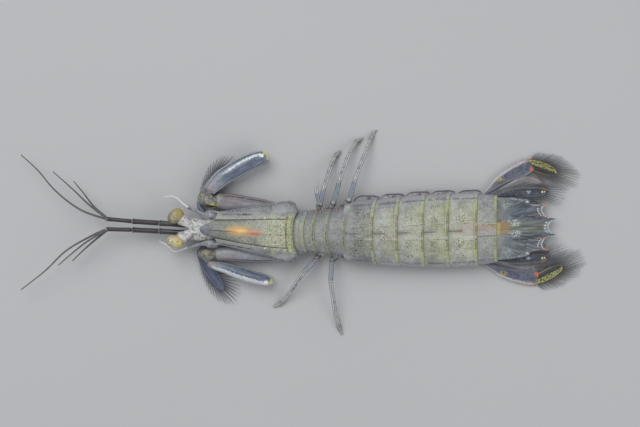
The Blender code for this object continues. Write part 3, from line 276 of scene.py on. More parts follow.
# Swimmerets, from the middle of their somite: (along, y, z, half width, half height)
SWIMMERET_BASE = ((-1.2, 4.9, 3.05, 1.6, 0.35), (-0.2, 4.9, 2.7, 2.3, 0.5), (1.2, 4.9, 2.1, 2.4, 0.5))
SWIMMERET_INNER = ((0.6, 3.5, 2.2, 0.9, 0.3), (3.0, 3.1, 1.3, 1.4, 0.25), (5.0, 3.0, 0.5, 1.2, 0.22),
                   (6.4, 3.0, 0.26, 0.6, 0.2))
SWIMMERET_OUTER = ((0.0, -3.3, 1.8, 1.5, 0.28), (1.6, -2.4, 1.55, 2.3, 0.25), (3.6, -2.0, 1.25, 2.0, 0.22),
                   (5.4, -1.9, 0.85, 1.9, 0.22), (6.6, -1.9, 0.45, 1.4, 0.2))
SWIMMERET_RIM = {"right": 0.9, "left": -0.5}

# Uropods: rows along and across the tail fan's branches, from their root
UROPOD_ROOT = (51.5, 8.4)
UROPOD_SPLAY = {"right": 36.5, "left": 24.0}
UROPOD_LONG_PRONG = (
    (-1.6, -1.2, 1.9, 1.0, 0.65),
    (0.6, -0.6, 1.75, 1.5, 0.7),
    (3.2, -1.2, 1.15, 1.3, 0.45),
    (6.5, -1.75, 0.85, 1.3, 0.27),
    (11.0, -3.05, 0.92, 1.75, 0.22),
    (13.6, -4.7, 1.0, 1.6, 0.22),
    (15.3, -6.8, 1.05, 0.9, 0.2),
    (16.5, -8.8, 1.05, 0.25, 0.17),
)
UROPOD_SHORT_PRONG = ((1.2, -0.2, 1.6, 0.6, 0.4), (5.0, -1.2, 0.75, 0.5, 0.35), (9.0, -3.0, 0.4, 0.3, 0.22))
UROPOD_PLATE = (
    (1.4, 1.0, 1.8, 0.5, 0.3),
    (3.8, 1.1, 1.65, 0.95, 0.34),
    (6.5, 1.25, 1.4, 1.35, 0.36),
    (10.5, 0.75, 1.1, 1.8, 0.36),
    (14.0, -0.15, 0.85, 2.2, 0.34),
    (16.6, -0.5, 0.72, 1.8, 0.3),
)
PADDLE_ROOT, PADDLE_TURN = (16.2, 0.3), {"right": -57.0, "left": -48.5}
PADDLE = (
    (-0.6, 0.0, 0.7, 0.85, 0.28),
    (1.0, 0.0, 0.66, 1.35, 0.26),
    (3.2, 0.0, 0.62, 1.55, 0.25),
    (5.8, 0.0, 0.58, 1.5, 0.25),
    (7.8, 0.0, 0.53, 1.0, 0.22),
    (8.6, 0.0, 0.5, 0.5, 0.2),
)
PADDLE_REACH = (
    (0.6, -0.2, 0.5, 2.6),
    (2.3, 0.0, 0.45, 4.4),
    (5.6, 0.1, 0.4, 5.2),
    (9.4, 0.1, 0.4, 5.1),
    (13.2, -0.2, 0.4, 4.3),
    (16.4, -0.3, 0.4, 2.2),
)
UROPOD_INNER = {
    "right": (
        (54.2, 8.8, 2.3, 0.5, 0.24),
        (58.5, 9.8, 2.2, 1.2, 0.28),
        (63.5, 10.1, 2.1, 1.4, 0.28),
        (68.0, 10.0, 1.85, 1.1, 0.26),
        (69.8, 9.9, 1.75, 0.5, 0.22),
    ),
    "left": (
        (54.2, -8.1, 2.3, 0.5, 0.24),
        (58.5, -8.7, 2.2, 1.2, 0.28),
        (63.5, -8.8, 2.05, 1.4, 0.28),
        (68.0, -8.8, 1.85, 1.1, 0.26),
        (69.8, -8.7, 1.75, 0.5, 0.22),
    ),
}
UROPOD_INNER_REACH = {
    "right": ((62.0, 9.8, 1.9, 2.0), (66.5, 9.7, 1.85, 2.7), (71.0, 9.2, 1.75, 3.7), (75.9, 8.4, 1.6, 2.6)),
    "left": ((62, -8.6, 1.75, 2.0), (66.5, -8.4, 1.65, 2.8), (71, -7.5, 1.45, 3.5), (76.2, -6.9, 1.4, 2.4)),
}


def colour(name, description, default):
    """A colour property."""
    return FloatVectorProperty(
        name=name, description=description, default=default, subtype="COLOR", size=3, min=0.0, max=1.0
    )


def length(name, description, default):
    """A length property, given in millimetres and kept in metres."""
    return FloatProperty(
        name=name, description=description, default=default * MM, unit="LENGTH", precision=5, min=0.0
    )


class ShellSettings(bpy.types.PropertyGroup):
    """Relief and colours of the plates."""

    ridge: length("Ridge height", "How high the long ridges of the plates stand", 0.11)
    groove: length("Groove depth", "How deep the two long grooves of the carapace are", 0.13)
    rim: length("Rim height", "How thick the rolled rear rim of each plate is", 0.07)
    pale: colour("Shell", "Middle of the plates", (0.262, 0.270, 0.205))
    cool: colour("Flank", "Sides of the plates", (0.205, 0.208, 0.222))
    white: colour("Milky patches", "Opaque white under the shell", (0.50, 0.51, 0.45))
    moss: colour("Moss", "Darker green between the milky patches", (0.135, 0.145, 0.105))
    yellow: colour("Rim", "Yellow-green marks", (0.43, 0.45, 0.13))
    ochre: colour("Ochre", "Brown-yellow lines of the rims", (0.20, 0.155, 0.03))
    dark: colour("Specks", "Dark specks and dashes", (0.022, 0.02, 0.018))
    orange: colour("Orange", "Orange patch on the carapace", (0.72, 0.40, 0.12))
    red: colour("Red", "Red patch on the carapace and the spines' tips", (0.50, 0.16, 0.10))


class LimbSettings(bpy.types.PropertyGroup):
    """Colours of the limbs, the eyes and the tail fan."""

    pale: colour("Limb wall", "Milky walls of the limbs", (0.60, 0.61, 0.61))
    core: colour("Limb core", "Dark line inside the limbs", (0.12, 0.135, 0.16))
    lilac: colour("Claw arm", "Pinkish lilac arm of the claw", (0.235, 0.195, 0.22))
    blue: colour("Claw hand", "Blue-grey of the claw's hand", (0.10, 0.125, 0.19))
    beige: colour("Wrist", "Yellowish beige of the wrist", (0.125, 0.12, 0.085))
    feeler: colour("Feeler", "Dark purplish grey feelers", (0.042, 0.035, 0.042))
    eye: colour("Eye", "Pale yellow of the eye", (0.68, 0.57, 0.24))
    fan: colour("Tail fan", "Lavender blue-grey of the tail fan", (0.072, 0.084, 0.135))
    fan_yellow: colour("Fan yellow", "Yellow-green marks of the tail fan", (0.38, 0.39, 0.09))
    fan_red: colour("Fan joints", "Orange-red joints of the tail fan", (0.62, 0.15, 0.06))


class BristleSettings(bpy.types.PropertyGroup):
    """Sizes and colours of the bristles."""

    thickness: length("Thickness", "Radius of a bristle at its root", 0.05)
    tip: FloatProperty(
        name="Tip", description="Radius at the tip as a share of the root's", default=0.2, subtype="FACTOR"
    )
    variation: FloatProperty(
        name="Variation", description="How much the bristles differ in length", default=0.12, subtype="FACTOR"
    )
    seed: IntProperty(name="Seed", description="Seed of the lengths' random draw", default=7)
    brown: colour("Bristle", "Grey-brown bristles", (0.15, 0.13, 0.125))
    grey: colour("Pale bristle", "Blue-grey bristles", (0.42, 0.43, 0.47))


class StageSettings(bpy.types.PropertyGroup):
    """Floor, light and camera."""

    floor: colour("Floor", "Pale floor", (0.545, 0.55, 0.56))
    lens: FloatProperty(
        name="Lens", description="Focal length of the camera", default=85.0, subtype="DISTANCE_CAMERA"
    )
    field: length("View width", "Width of the camera's view at the body's height", 179.8)
    centre_x: FloatProperty(name="Aim X", description="Where the view's middle lies", default=0.0052, unit="LENGTH")
    centre_y: FloatProperty(name="Aim Y", description="Where the view's middle lies", default=0.0055, unit="LENGTH")
    key: FloatProperty(name="Key light", description="Power of the main light", default=4.6, subtype="POWER")
    sky: FloatProperty(name="Fill", description="Strength of the soft light all round", default=0.40)


def midline(x):
    """Sideways place of the body's line at each x."""
    along = np.asarray(x, float) - BEND_X
    tail = np.clip(along, 0, TAIL_STRAIGHT)
    head = np.clip(-along, 0, HEAD_STRAIGHT)
    behind = TAIL_BEND * tail**2 + TELSON_SLOPE * np.maximum(along - TAIL_STRAIGHT, 0)
    before = HEAD_BEND * head * (head + 2 * np.maximum(-along - HEAD_STRAIGHT, 0))
    return BEND_SHIFT + behind + before


def leaned(points):
    """Points of the trunk moved sideways below its crown, as the body leans."""
    points = np.array(points, float)
    points[..., 1] += (CROWN - points[..., 2]) * np.interp(points[..., 0], LEAN[:, 0], LEAN[:, 1])
    return points


def laid(points):
    """Straight millimetres as posed metres, never below the floor."""
    points = np.array(points, float)
    points[..., 1] += midline(points[..., 0])
    points[..., 2] = np.maximum(points[..., 2], 0.0)
    return points * MM


def joined(forms):
    """One form from several."""
    points, faces, places, first = [], [], [], 0
    for form in forms:
        points.append(form.points)
        places.append(form.places)
        faces += [tuple(i + first for i in face) for face in form.faces]
        first += len(form.points)
    return Form(np.vstack(points), faces, np.vstack(places))


def piece(name, form, finish, nodes, sharp=50):
    """A finished piece: its mesh, its attributes flat and place, its finish and its place in the frame."""
    mesh = bpy.data.meshes.new(name)
    mesh.from_pydata(laid(form.points).tolist(), [], form.faces)
    for label, values in (("flat", form.points), ("place", form.places)):
        layer = mesh.attributes.new(label, "FLOAT_VECTOR", "POINT")
        layer.data.foreach_set("vector", np.asarray(values, np.float32).ravel())
    work = bmesh.new()
    work.from_mesh(mesh)
    bmesh.ops.recalc_face_normals(work, faces=work.faces)
    work.to_mesh(mesh)
    work.free()
    mesh.shade_smooth()
    mesh.set_sharp_from_angle(angle=math.radians(sharp))
    mesh.materials.append(finish)
    made = bpy.data.objects.new(name, mesh)
    bpy.context.scene.collection.objects.link(made)
    return settled(made, nodes)


def settled(made, nodes):
    """Puts a piece on the animal's body and hides the CAD nodes it stands for."""
    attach(made, "root")
    if nodes:
        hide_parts(*nodes)
    return made


def loft(rings, places):
    """A closed form through rings of equal count, each end closed by a fan."""
    rings, places = np.array(rings), np.array(places)
    rows, count = rings.shape[:2]
    faces = []
    for k in range(rows - 1):
        for i in range(count):
            j = (i + 1) % count
            faces.append((k * count + i, k * count + j, (k + 1) * count + j, (k + 1) * count + i))
    points, spots = [rings.reshape(-1, 3)], [places.reshape(-1, 3)]
    for end, pole in ((0, rows * count), (rows - 1, rows * count + 1)):
        first = end * count
        points.append(rings[end].mean(axis=0)[None])
        spots.append(places[end].mean(axis=0)[None])
        faces += [(first + i, first + (i + 1) % count, pole) for i in range(count)]
    return Form(np.vstack(points), faces, np.vstack(spots))


def slab(top, under, places):
    """A closed sheet between two grids of points of equal size."""
    rows, columns = top.shape[:2]
    layer = rows * columns
    faces = []
    for first in (0, layer):
        for r in range(rows - 1):
            for c in range(columns - 1):
                i = first + r * columns + c
                faces.append((i, i + 1, i + columns + 1, i + columns))
    rim = list(range(columns)) + [r * columns + columns - 1 for r in range(1, rows)]
    rim += [(rows - 1) * columns + c for c in range(columns - 2, -1, -1)]
    rim += [r * columns for r in range(rows - 2, 0, -1)]
    faces += [(i, j, j + layer, i + layer) for i, j in zip(rim, rim[1:] + rim[:1])]
    spots = places.reshape(-1, 3)
    below = spots.copy()
    below[:, 2] = -1.0
    return Form(np.vstack([top.reshape(-1, 3), under.reshape(-1, 3)]), faces, np.vstack([spots, below]))


def smooth_rows(rows, steps):
    """Rows of numbers with Catmull-Rom rows put between them."""
    rows = np.array(rows, float)
    padded = np.vstack([2 * rows[0] - rows[1], rows, 2 * rows[-1] - rows[-2]])
    made = []
    for k in range(1, len(rows)):
        a, b, c, d = padded[k - 1 : k + 3]
        for t in np.arange(steps) / steps:
            bend = (2 * a - 5 * b + 4 * c - d) * t**2 + (3 * b - a - 3 * c + d) * t**3
            made.append(0.5 * (2 * b + (c - a) * t + bend))
    made.append(rows[-1])
    return np.array(made)


def frames(rows):
    """Tangent, level side and up at each row of a limb's path."""
    tangents = np.gradient(rows[:, :3], axis=0)
    tangents /= np.linalg.norm(tangents, axis=1)[:, None]
    sides = np.cross((0, 0, 1), tangents)
    sides /= np.linalg.norm(sides, axis=1)[:, None]
    return tangents, sides, np.cross(tangents, sides)


def limb(rows, sides=16, steps=6, dome=0.8, relief=None):
    """A limb or blade through rows of (x, y, z, half width, half height) with rounded ends.

    Its places are the share of its rows, then how far across and how high round it a point lies.
    """
    count = len(rows)
    rows = smooth_rows(rows, steps)
    tangents, across, rise = frames(rows)
    turns = 2 * math.pi * (np.arange(sides) + 0.5) / sides
    circle = np.stack([np.cos(turns), np.sin(turns)], axis=1)
    levels = [(k, 0.0, 1.0) for k in range(len(rows))]
    if dome:
        heights = (0.4, 0.7, 0.9, 1.0)
        caps = [(h, math.sqrt(max(1 - h * h, 0.0004))) for h in heights]
        levels = [(0, -h, w) for h, w in reversed(caps)] + levels + [(len(rows) - 1, h, w) for h, w in caps]
    rings, places = [], []
    for k, reach, scale in levels:
        row = rows[k]
        centre = row[:3] + tangents[k] * reach * dome * min(row[3], row[4])
        share = k / (len(rows) - 1)
        swell = np.ones(sides) if relief is None else relief(share * (count - 1), circle)
        ring = centre + scale * (
            np.outer(circle[:, 0] * row[3] * swell, across[k]) + np.outer(circle[:, 1] * row[4] * swell, rise[k])
        )
        rings.append(ring)
        places.append(np.column_stack([np.full(sides, share), circle]))
    return loft(rings, places)


def cone(root, tip, radius, sides=8, bend=(0, 0, 0), steps=5):
    """A curved spine that tapers from root to tip."""
    root, tip, bend = (np.array(v, float) for v in (root, tip, bend))
    rows = []
    for t in np.linspace(0, 1, steps):
        width = radius * max(1 - t, 0.06) ** 0.8
        rows.append((*(root + (tip - root) * t + bend * t * (1 - t)), width, width))
    return limb(rows, sides=sides, steps=1, dome=0.6)


def outline(rows):
    """A blade's margin from its root along one edge, round the tip and back along the other."""
    rows = smooth_rows([row[:4] for row in rows], 6)
    across = frames(rows)[1] * rows[:, 3:4]
    return np.vstack([rows[:, :3] + across, (rows[:, :3] - across)[::-1]])


def spaced(line, shares):
    """Points at shares of a line's length."""
    steps = np.linalg.norm(np.diff(line, axis=0), axis=1)
    reached = np.concatenate([[0.0], np.cumsum(steps)]) / steps.sum()
    return np.column_stack([np.interp(shares, reached, line[:, k]) for k in range(3)])


class Value:
    """A shader socket whose operators add the nodes that work out an expression."""

    def __init__(self, finish, socket):
        self.finish, self.socket = finish, socket

    def of(self, output):
        """Another output of the same node."""
        return Value(self.finish, self.socket.node.outputs[output])

    def maths(self, operation, other=0.0, swap=False):
        first, second = (other, self) if swap else (self, other)
        return self.finish.node("ShaderNodeMath", {"operation": operation}, {0: first, 1: second})

    def __add__(self, other):
        return self.maths("ADD", other)

    def __sub__(self, other):
        return self.maths("SUBTRACT", other)

    def __rsub__(self, other):
        return self.maths("SUBTRACT", other, swap=True)

    def __mul__(self, other):
        return self.maths("MULTIPLY", other)

    def __truediv__(self, other):
        return self.maths("DIVIDE", other)

    def __abs__(self):
        return self.maths("ABSOLUTE")

    __radd__, __rmul__ = __add__, __mul__

    def most(self, other):
        return self.maths("MAXIMUM", other)

    def below(self, other):
        return self.maths("LESS_THAN", other)

    def smooth(self, low, high):
        """0 up to low, 1 from high on, smooth between. The other way round where low is higher."""
        return self.finish.node(
            "ShaderNodeMapRange", {"interpolation_type": "SMOOTHSTEP"}, {0: self, 1: low, 2: high, 3: 0.0, 4: 1.0}
        )

    def line(self, at, width):
        """1 where the value is at, 0 from a width away."""
        return abs(self - at).smooth(width, width * 0.3)


class Finish:
    """A procedural material under construction."""

    def __init__(self, name):
        self.material = bpy.data.materials.new(name)
        self.material.use_nodes = True
        self.tree = self.material.node_tree
        self.shader = self.tree.nodes["Principled BSDF"]
        self.flat = self.attribute("flat")
        self.x, self.y, self.z = self.parts(self.flat)
        self.along, self.across, self.up = self.parts(self.attribute("place"))
        self.side = abs(self.across)

    def node(self, kind, settings=None, inputs=None, output=0):
        """One node, set first and then fed."""
        made = self.tree.nodes.new(kind)
        for name, value in (settings or {}).items():
            setattr(made, name, value)
        for name, value in (inputs or {}).items():
            if isinstance(value, Value):
                self.tree.links.new(value.socket, made.inputs[name])
            else:
                made.inputs[name].default_value = value
        return Value(self, made.outputs[output])

    def attribute(self, name):
        return self.node("ShaderNodeAttribute", {"attribute_name": name}, output=1)

    def parts(self, vector):
        split = self.node("ShaderNodeSeparateXYZ", inputs={0: vector})
        return split, split.of(1), split.of(2)

    def stretched(self, x, y, z):
        """The straight place, in millimetres, stretched along each axis."""
        return self.node("ShaderNodeVectorMath", {"operation": "MULTIPLY"}, {0: self.flat, 1: (x, y, z)})

    def noise(self, size, detail=2.0, vector=None):
        """Noise about 0.5 with cells of that size in millimetres."""
        inputs = {"Vector": vector or self.flat, "Scale": 1 / size, "Detail": detail}
        return self.node("ShaderNodeTexNoise", inputs=inputs)

    def specks(self, size, amount, radius=0.3, vector=None):
        """Round dots in cells of that size. amount is the share of the cells that hold one."""
        cells = self.node(
            "ShaderNodeTexVoronoi", inputs={"Vector": vector or self.flat, "Scale": 1 / size, "Randomness": 1.0}
        )
        chance = self.node("ShaderNodeSeparateColor", inputs={0: cells.of(1)})
        return cells.smooth(radius, radius * 0.6) * chance.below(amount)

    def dots(self, size, amount, radius=0.3):
        """Round dots as seen from above, in cells of that size."""
        flat = self.node("ShaderNodeCombineXYZ", inputs={0: self.x, 1: self.y, 2: 0.0})
        cells = self.node(
            "ShaderNodeTexVoronoi", {"voronoi_dimensions": "2D"}, {"Vector": flat, "Scale": 1 / size}
        )
        chance = self.node("ShaderNodeSeparateColor", inputs={0: cells.of(1)})
        return cells.smooth(radius * 1.15, radius * 0.75) * chance.below(amount)

    def spot(self, x, y, across_x, across_y, edge=0.35, both=False):
        """A soft oval spot at a straight place. Where both is set, its twin lies on the other side."""
        y_place = abs(self.y) if both else self.y
        u, v = (self.x - x) / across_x, (y_place - y) / across_y
        distance = (u * u + v * v).maths("POWER", 0.5)
        return distance.smooth(1 + edge, 1 - edge)

    def mix(self, factor, first, second, blend="MIX"):
        """Two colours mixed by a factor."""
        first, second = (c if isinstance(c, Value) else (*c, 1.0) for c in (first, second))
        settings = {"data_type": "RGBA", "blend_type": blend}
        return self.node("ShaderNodeMix", settings, {0: factor, 6: first, 7: second}, 2)

    def layers(self, base, *layers):
        """Colours laid over a base, each as (mask, colour)."""
        for mask, tint in layers:
            base = self.mix(mask, base, tint)
        return base

    def done(self, tint, roughness, height=None, depth=0.05, coat=0.0, alpha=None):
        """Feeds the shader and gives the material."""
        inputs, links = self.shader.inputs, self.tree.links
        links.new(tint.socket, inputs["Base Color"])
        if isinstance(roughness, Value):
            links.new(roughness.socket, inputs["Roughness"])
        else:
            inputs["Roughness"].default_value = roughness
        inputs["Coat Weight"].default_value = coat
        inputs["Coat Roughness"].default_value = 0.12
        inputs["Specular IOR Level"].default_value = 0.5
        if alpha is not None:
            links.new(alpha.socket, inputs["Alpha"])
        if height is not None:
            bump = self.node("ShaderNodeBump", inputs={"Strength": 1.0, "Distance": depth * MM, "Height": height})
            links.new(bump.socket, inputs["Normal"])
        return self.material


def shell_base(finish, settings, light=1.0, blue=1.0):
    """Translucent shell: grainy grey-green that cools towards the flanks, with milky clouds and fine grain."""

    def lit(tint):
        return tint[0] * light, tint[1] * light, tint[2] * light * blue

    cloud = finish.noise(3.4, 3.0)
    grain, fine = finish.noise(0.8, 4.0), finish.noise(0.34, 2.0)
    flank = (finish.side + (grain - 0.5) * 0.3).smooth(0.45, 0.95)
    base = finish.layers(
        finish.mix(flank * 0.85, lit(settings.pale), lit(settings.cool)),
        (cloud.smooth(0.42, 0.7) * 0.3, lit(settings.white)),
        (cloud.smooth(0.5, 0.28) * 0.35, lit(settings.moss)),
        (grain.smooth(0.54, 0.68) * 0.35, lit(settings.white)),
        (grain.smooth(0.46, 0.33) * 0.4, lit(settings.moss)),
        (fine.smooth(0.53, 0.66) * 0.3, lit((0.42, 0.44, 0.38))),
        (fine.smooth(0.47, 0.36) * 0.35, lit((0.13, 0.135, 0.125))),
    )
    return base, fine


def carapace_finish(settings):
    """The carapace: dotted groove lines, orange and red patch, speckled rear, pale corner lobes."""
    f = Finish("carapace_shell")
    base, fine = shell_base(f, settings, 1.06, 1.08)
    dark, yellow, white, ochre = (tuple(c) for c in (settings.dark, settings.yellow, settings.white, settings.ochre))
    middle, ragged = abs(f.y), f.noise(0.55, 2.0)
    wobble = (f.noise(1.3, 4.0) - 0.5) * 1.6
    inner = f.up.smooth(0.15, -0.25)
    rear = f.x.smooth(-13.0, -9.0) * f.up.smooth(1.3, 0.6)
    front = f.x.smooth(-15.0, -21.0)

    def blot(x, y, wide, deep, soft=0.75):
        u, v = (f.x + wobble - x) / wide, (f.y + wobble * 0.4 - y) / deep
        return (u * u + v * v).maths("POWER", 0.5).smooth(1 + soft, 1 - soft)

    dotted = f.dots(0.62, 0.8, 0.3)
    groove = f.up.line(0.0, 0.24)
    margin = f.side.line(0.955, 0.02)
    lobe = f.spot(-6.3, 6.95, 2.9, 1.5, 0.55, True)
    rim = f.along.smooth(0.918, 0.936) * middle.smooth(5.9, 4.9)
    base = f.layers(
        base,
        (front * inner * 0.55, (0.155, 0.165, 0.15)),
        (rear * inner * 0.6, (0.48, 0.49, 0.30)),
        (rear * f.noise(0.6, 2.0).smooth(0.48, 0.6) * 0.6, (0.60, 0.62, 0.53)),
        (f.spot(-22.6, 4.2, 1.0, 0.6, 0.5, True) * ragged.smooth(0.4, 0.55) * 0.8, yellow),
        ((1 - inner) * f.x.smooth(-10.0, -13.0) * 0.55, (0.37, 0.38, 0.385)),
        (f.up.line(2.3, 0.5) * f.noise(0.9, 2.0, f.stretched(0.3, 1, 1)).smooth(0.5, 0.6) * 0.35, (0.45, 0.42, 0.48)),
        (lobe * f.noise(1.2, 3.0).smooth(0.3, 0.6) * 0.6, (0.38, 0.38, 0.43)),
        (f.spot(-5.6, 6.5, 1.3, 0.6, 0.8, True) * ragged.smooth(0.3, 0.55) * 0.45, (0.50, 0.50, 0.53)),
        (f.spot(-7.8, 4.9, 0.8, 1.1, 0.6, True) * ragged.smooth(0.3, 0.5) * 0.7, (0.42, 0.48, 0.27)),
        (lobe * (1 - f.spot(-6.3, 6.95, 2.8, 1.3, 0.3, True)) * ragged.smooth(0.4, 0.55) * 0.4, (0.12, 0.11, 0.13)),
        (f.spot(-8.6, 7.3, 0.22, 0.8, 0.5, True) * 0.5, (0.07, 0.06, 0.06)),
        (blot(-16.6, 0.4, 4.3, 1.6) * 0.55, (0.50, 0.42, 0.19)),
        (blot(-17.4, 0.4, 2.7, 1.05, 0.7) * ragged.smooth(0.28, 0.46), tuple(settings.orange)),
        (blot(-16.6, 0.35, 1.3, 0.5, 0.7) * 0.8, (0.88, 0.60, 0.24)),
        (blot(-13.6, 0.0, 2.2, 0.9, 0.7) * ragged.smooth(0.28, 0.46) * 0.9, (0.60, 0.31, 0.18)),
        (blot(-12.8, -0.3, 1.2, 0.5, 0.7) * 0.7, tuple(settings.red)),
        (f.y.line(0.05, 0.2) * f.x.smooth(-19.0, -20.5) * 0.55, dark),
        (f.y.line(-0.45, 0.16) * f.x.smooth(-9.5, -8.3) * ragged.smooth(0.4, 0.5) * 0.75, ochre),
        (groove * 0.7, ochre),
        (groove * (f.up.line(0.0, 0.17) * ragged.smooth(0.38, 0.48)).most(front * 0.7), dark),
        (f.up.line(1.35, 0.34) * f.x.smooth(-23.0, -21.5) * f.x.smooth(-13.0, -14.5) * ragged.smooth(0.4, 0.5) * 0.75, dark),
        (margin * dotted.most(ragged.smooth(0.5, 0.56)) * f.x.smooth(-21.5, -19.5) * 0.85, dark),
        (f.up.line(2.15, 0.14) * f.dots(0.5, 0.8, 0.34) * f.x.smooth(-8.5, -10.0) * 0.8, dark),
        (rim * 0.6, (0.29, 0.315, 0.14)),
        (rim * ragged.smooth(0.44, 0.54) * 0.6, (0.55, 0.57, 0.37)),
        (f.along.line(0.924, 0.013) * middle.smooth(5.4, 4.6) * ragged.smooth(0.34, 0.48) * 0.8, ochre),
        (f.along.line(0.922, 0.009) * middle.smooth(5.4, 4.4) * f.dots(0.4, 0.85, 0.36), dark),
        (f.along.line(0.988, 0.012) * middle.smooth(5.4, 4.4) * ragged.smooth(0.4, 0.52) * 0.5, (0.15, 0.17, 0.06)),
        (f.dots(0.6, 0.55, 0.24) * rear * inner * 0.85, (0.06, 0.055, 0.05)),
        (f.dots(0.75, 0.4, 0.21) * inner * (1 - rear) * (1 - blot(-15.8, 0.3, 4.0, 1.3)) * 0.75, dark),
        (f.dots(0.62, 0.5, 0.23) * f.up.line(1.2, 1.1) * f.x.smooth(-21.0, -19.0) * 0.55, dark),
        (f.spot(-10.2, 4.25, 0.34, 0.26, 0.5, True) * 0.6, (0.75, 0.75, 0.70)),
        (f.side.smooth(0.975, 0.99) * 0.5, (0.34, 0.31, 0.36)),
    )
    height = f.noise(0.3, 3.0) - f.specks(0.5, 0.5, 0.28) * 0.3
    return f.done(base, 0.34 + fine * 0.3, height, 0.05, coat=0.12)


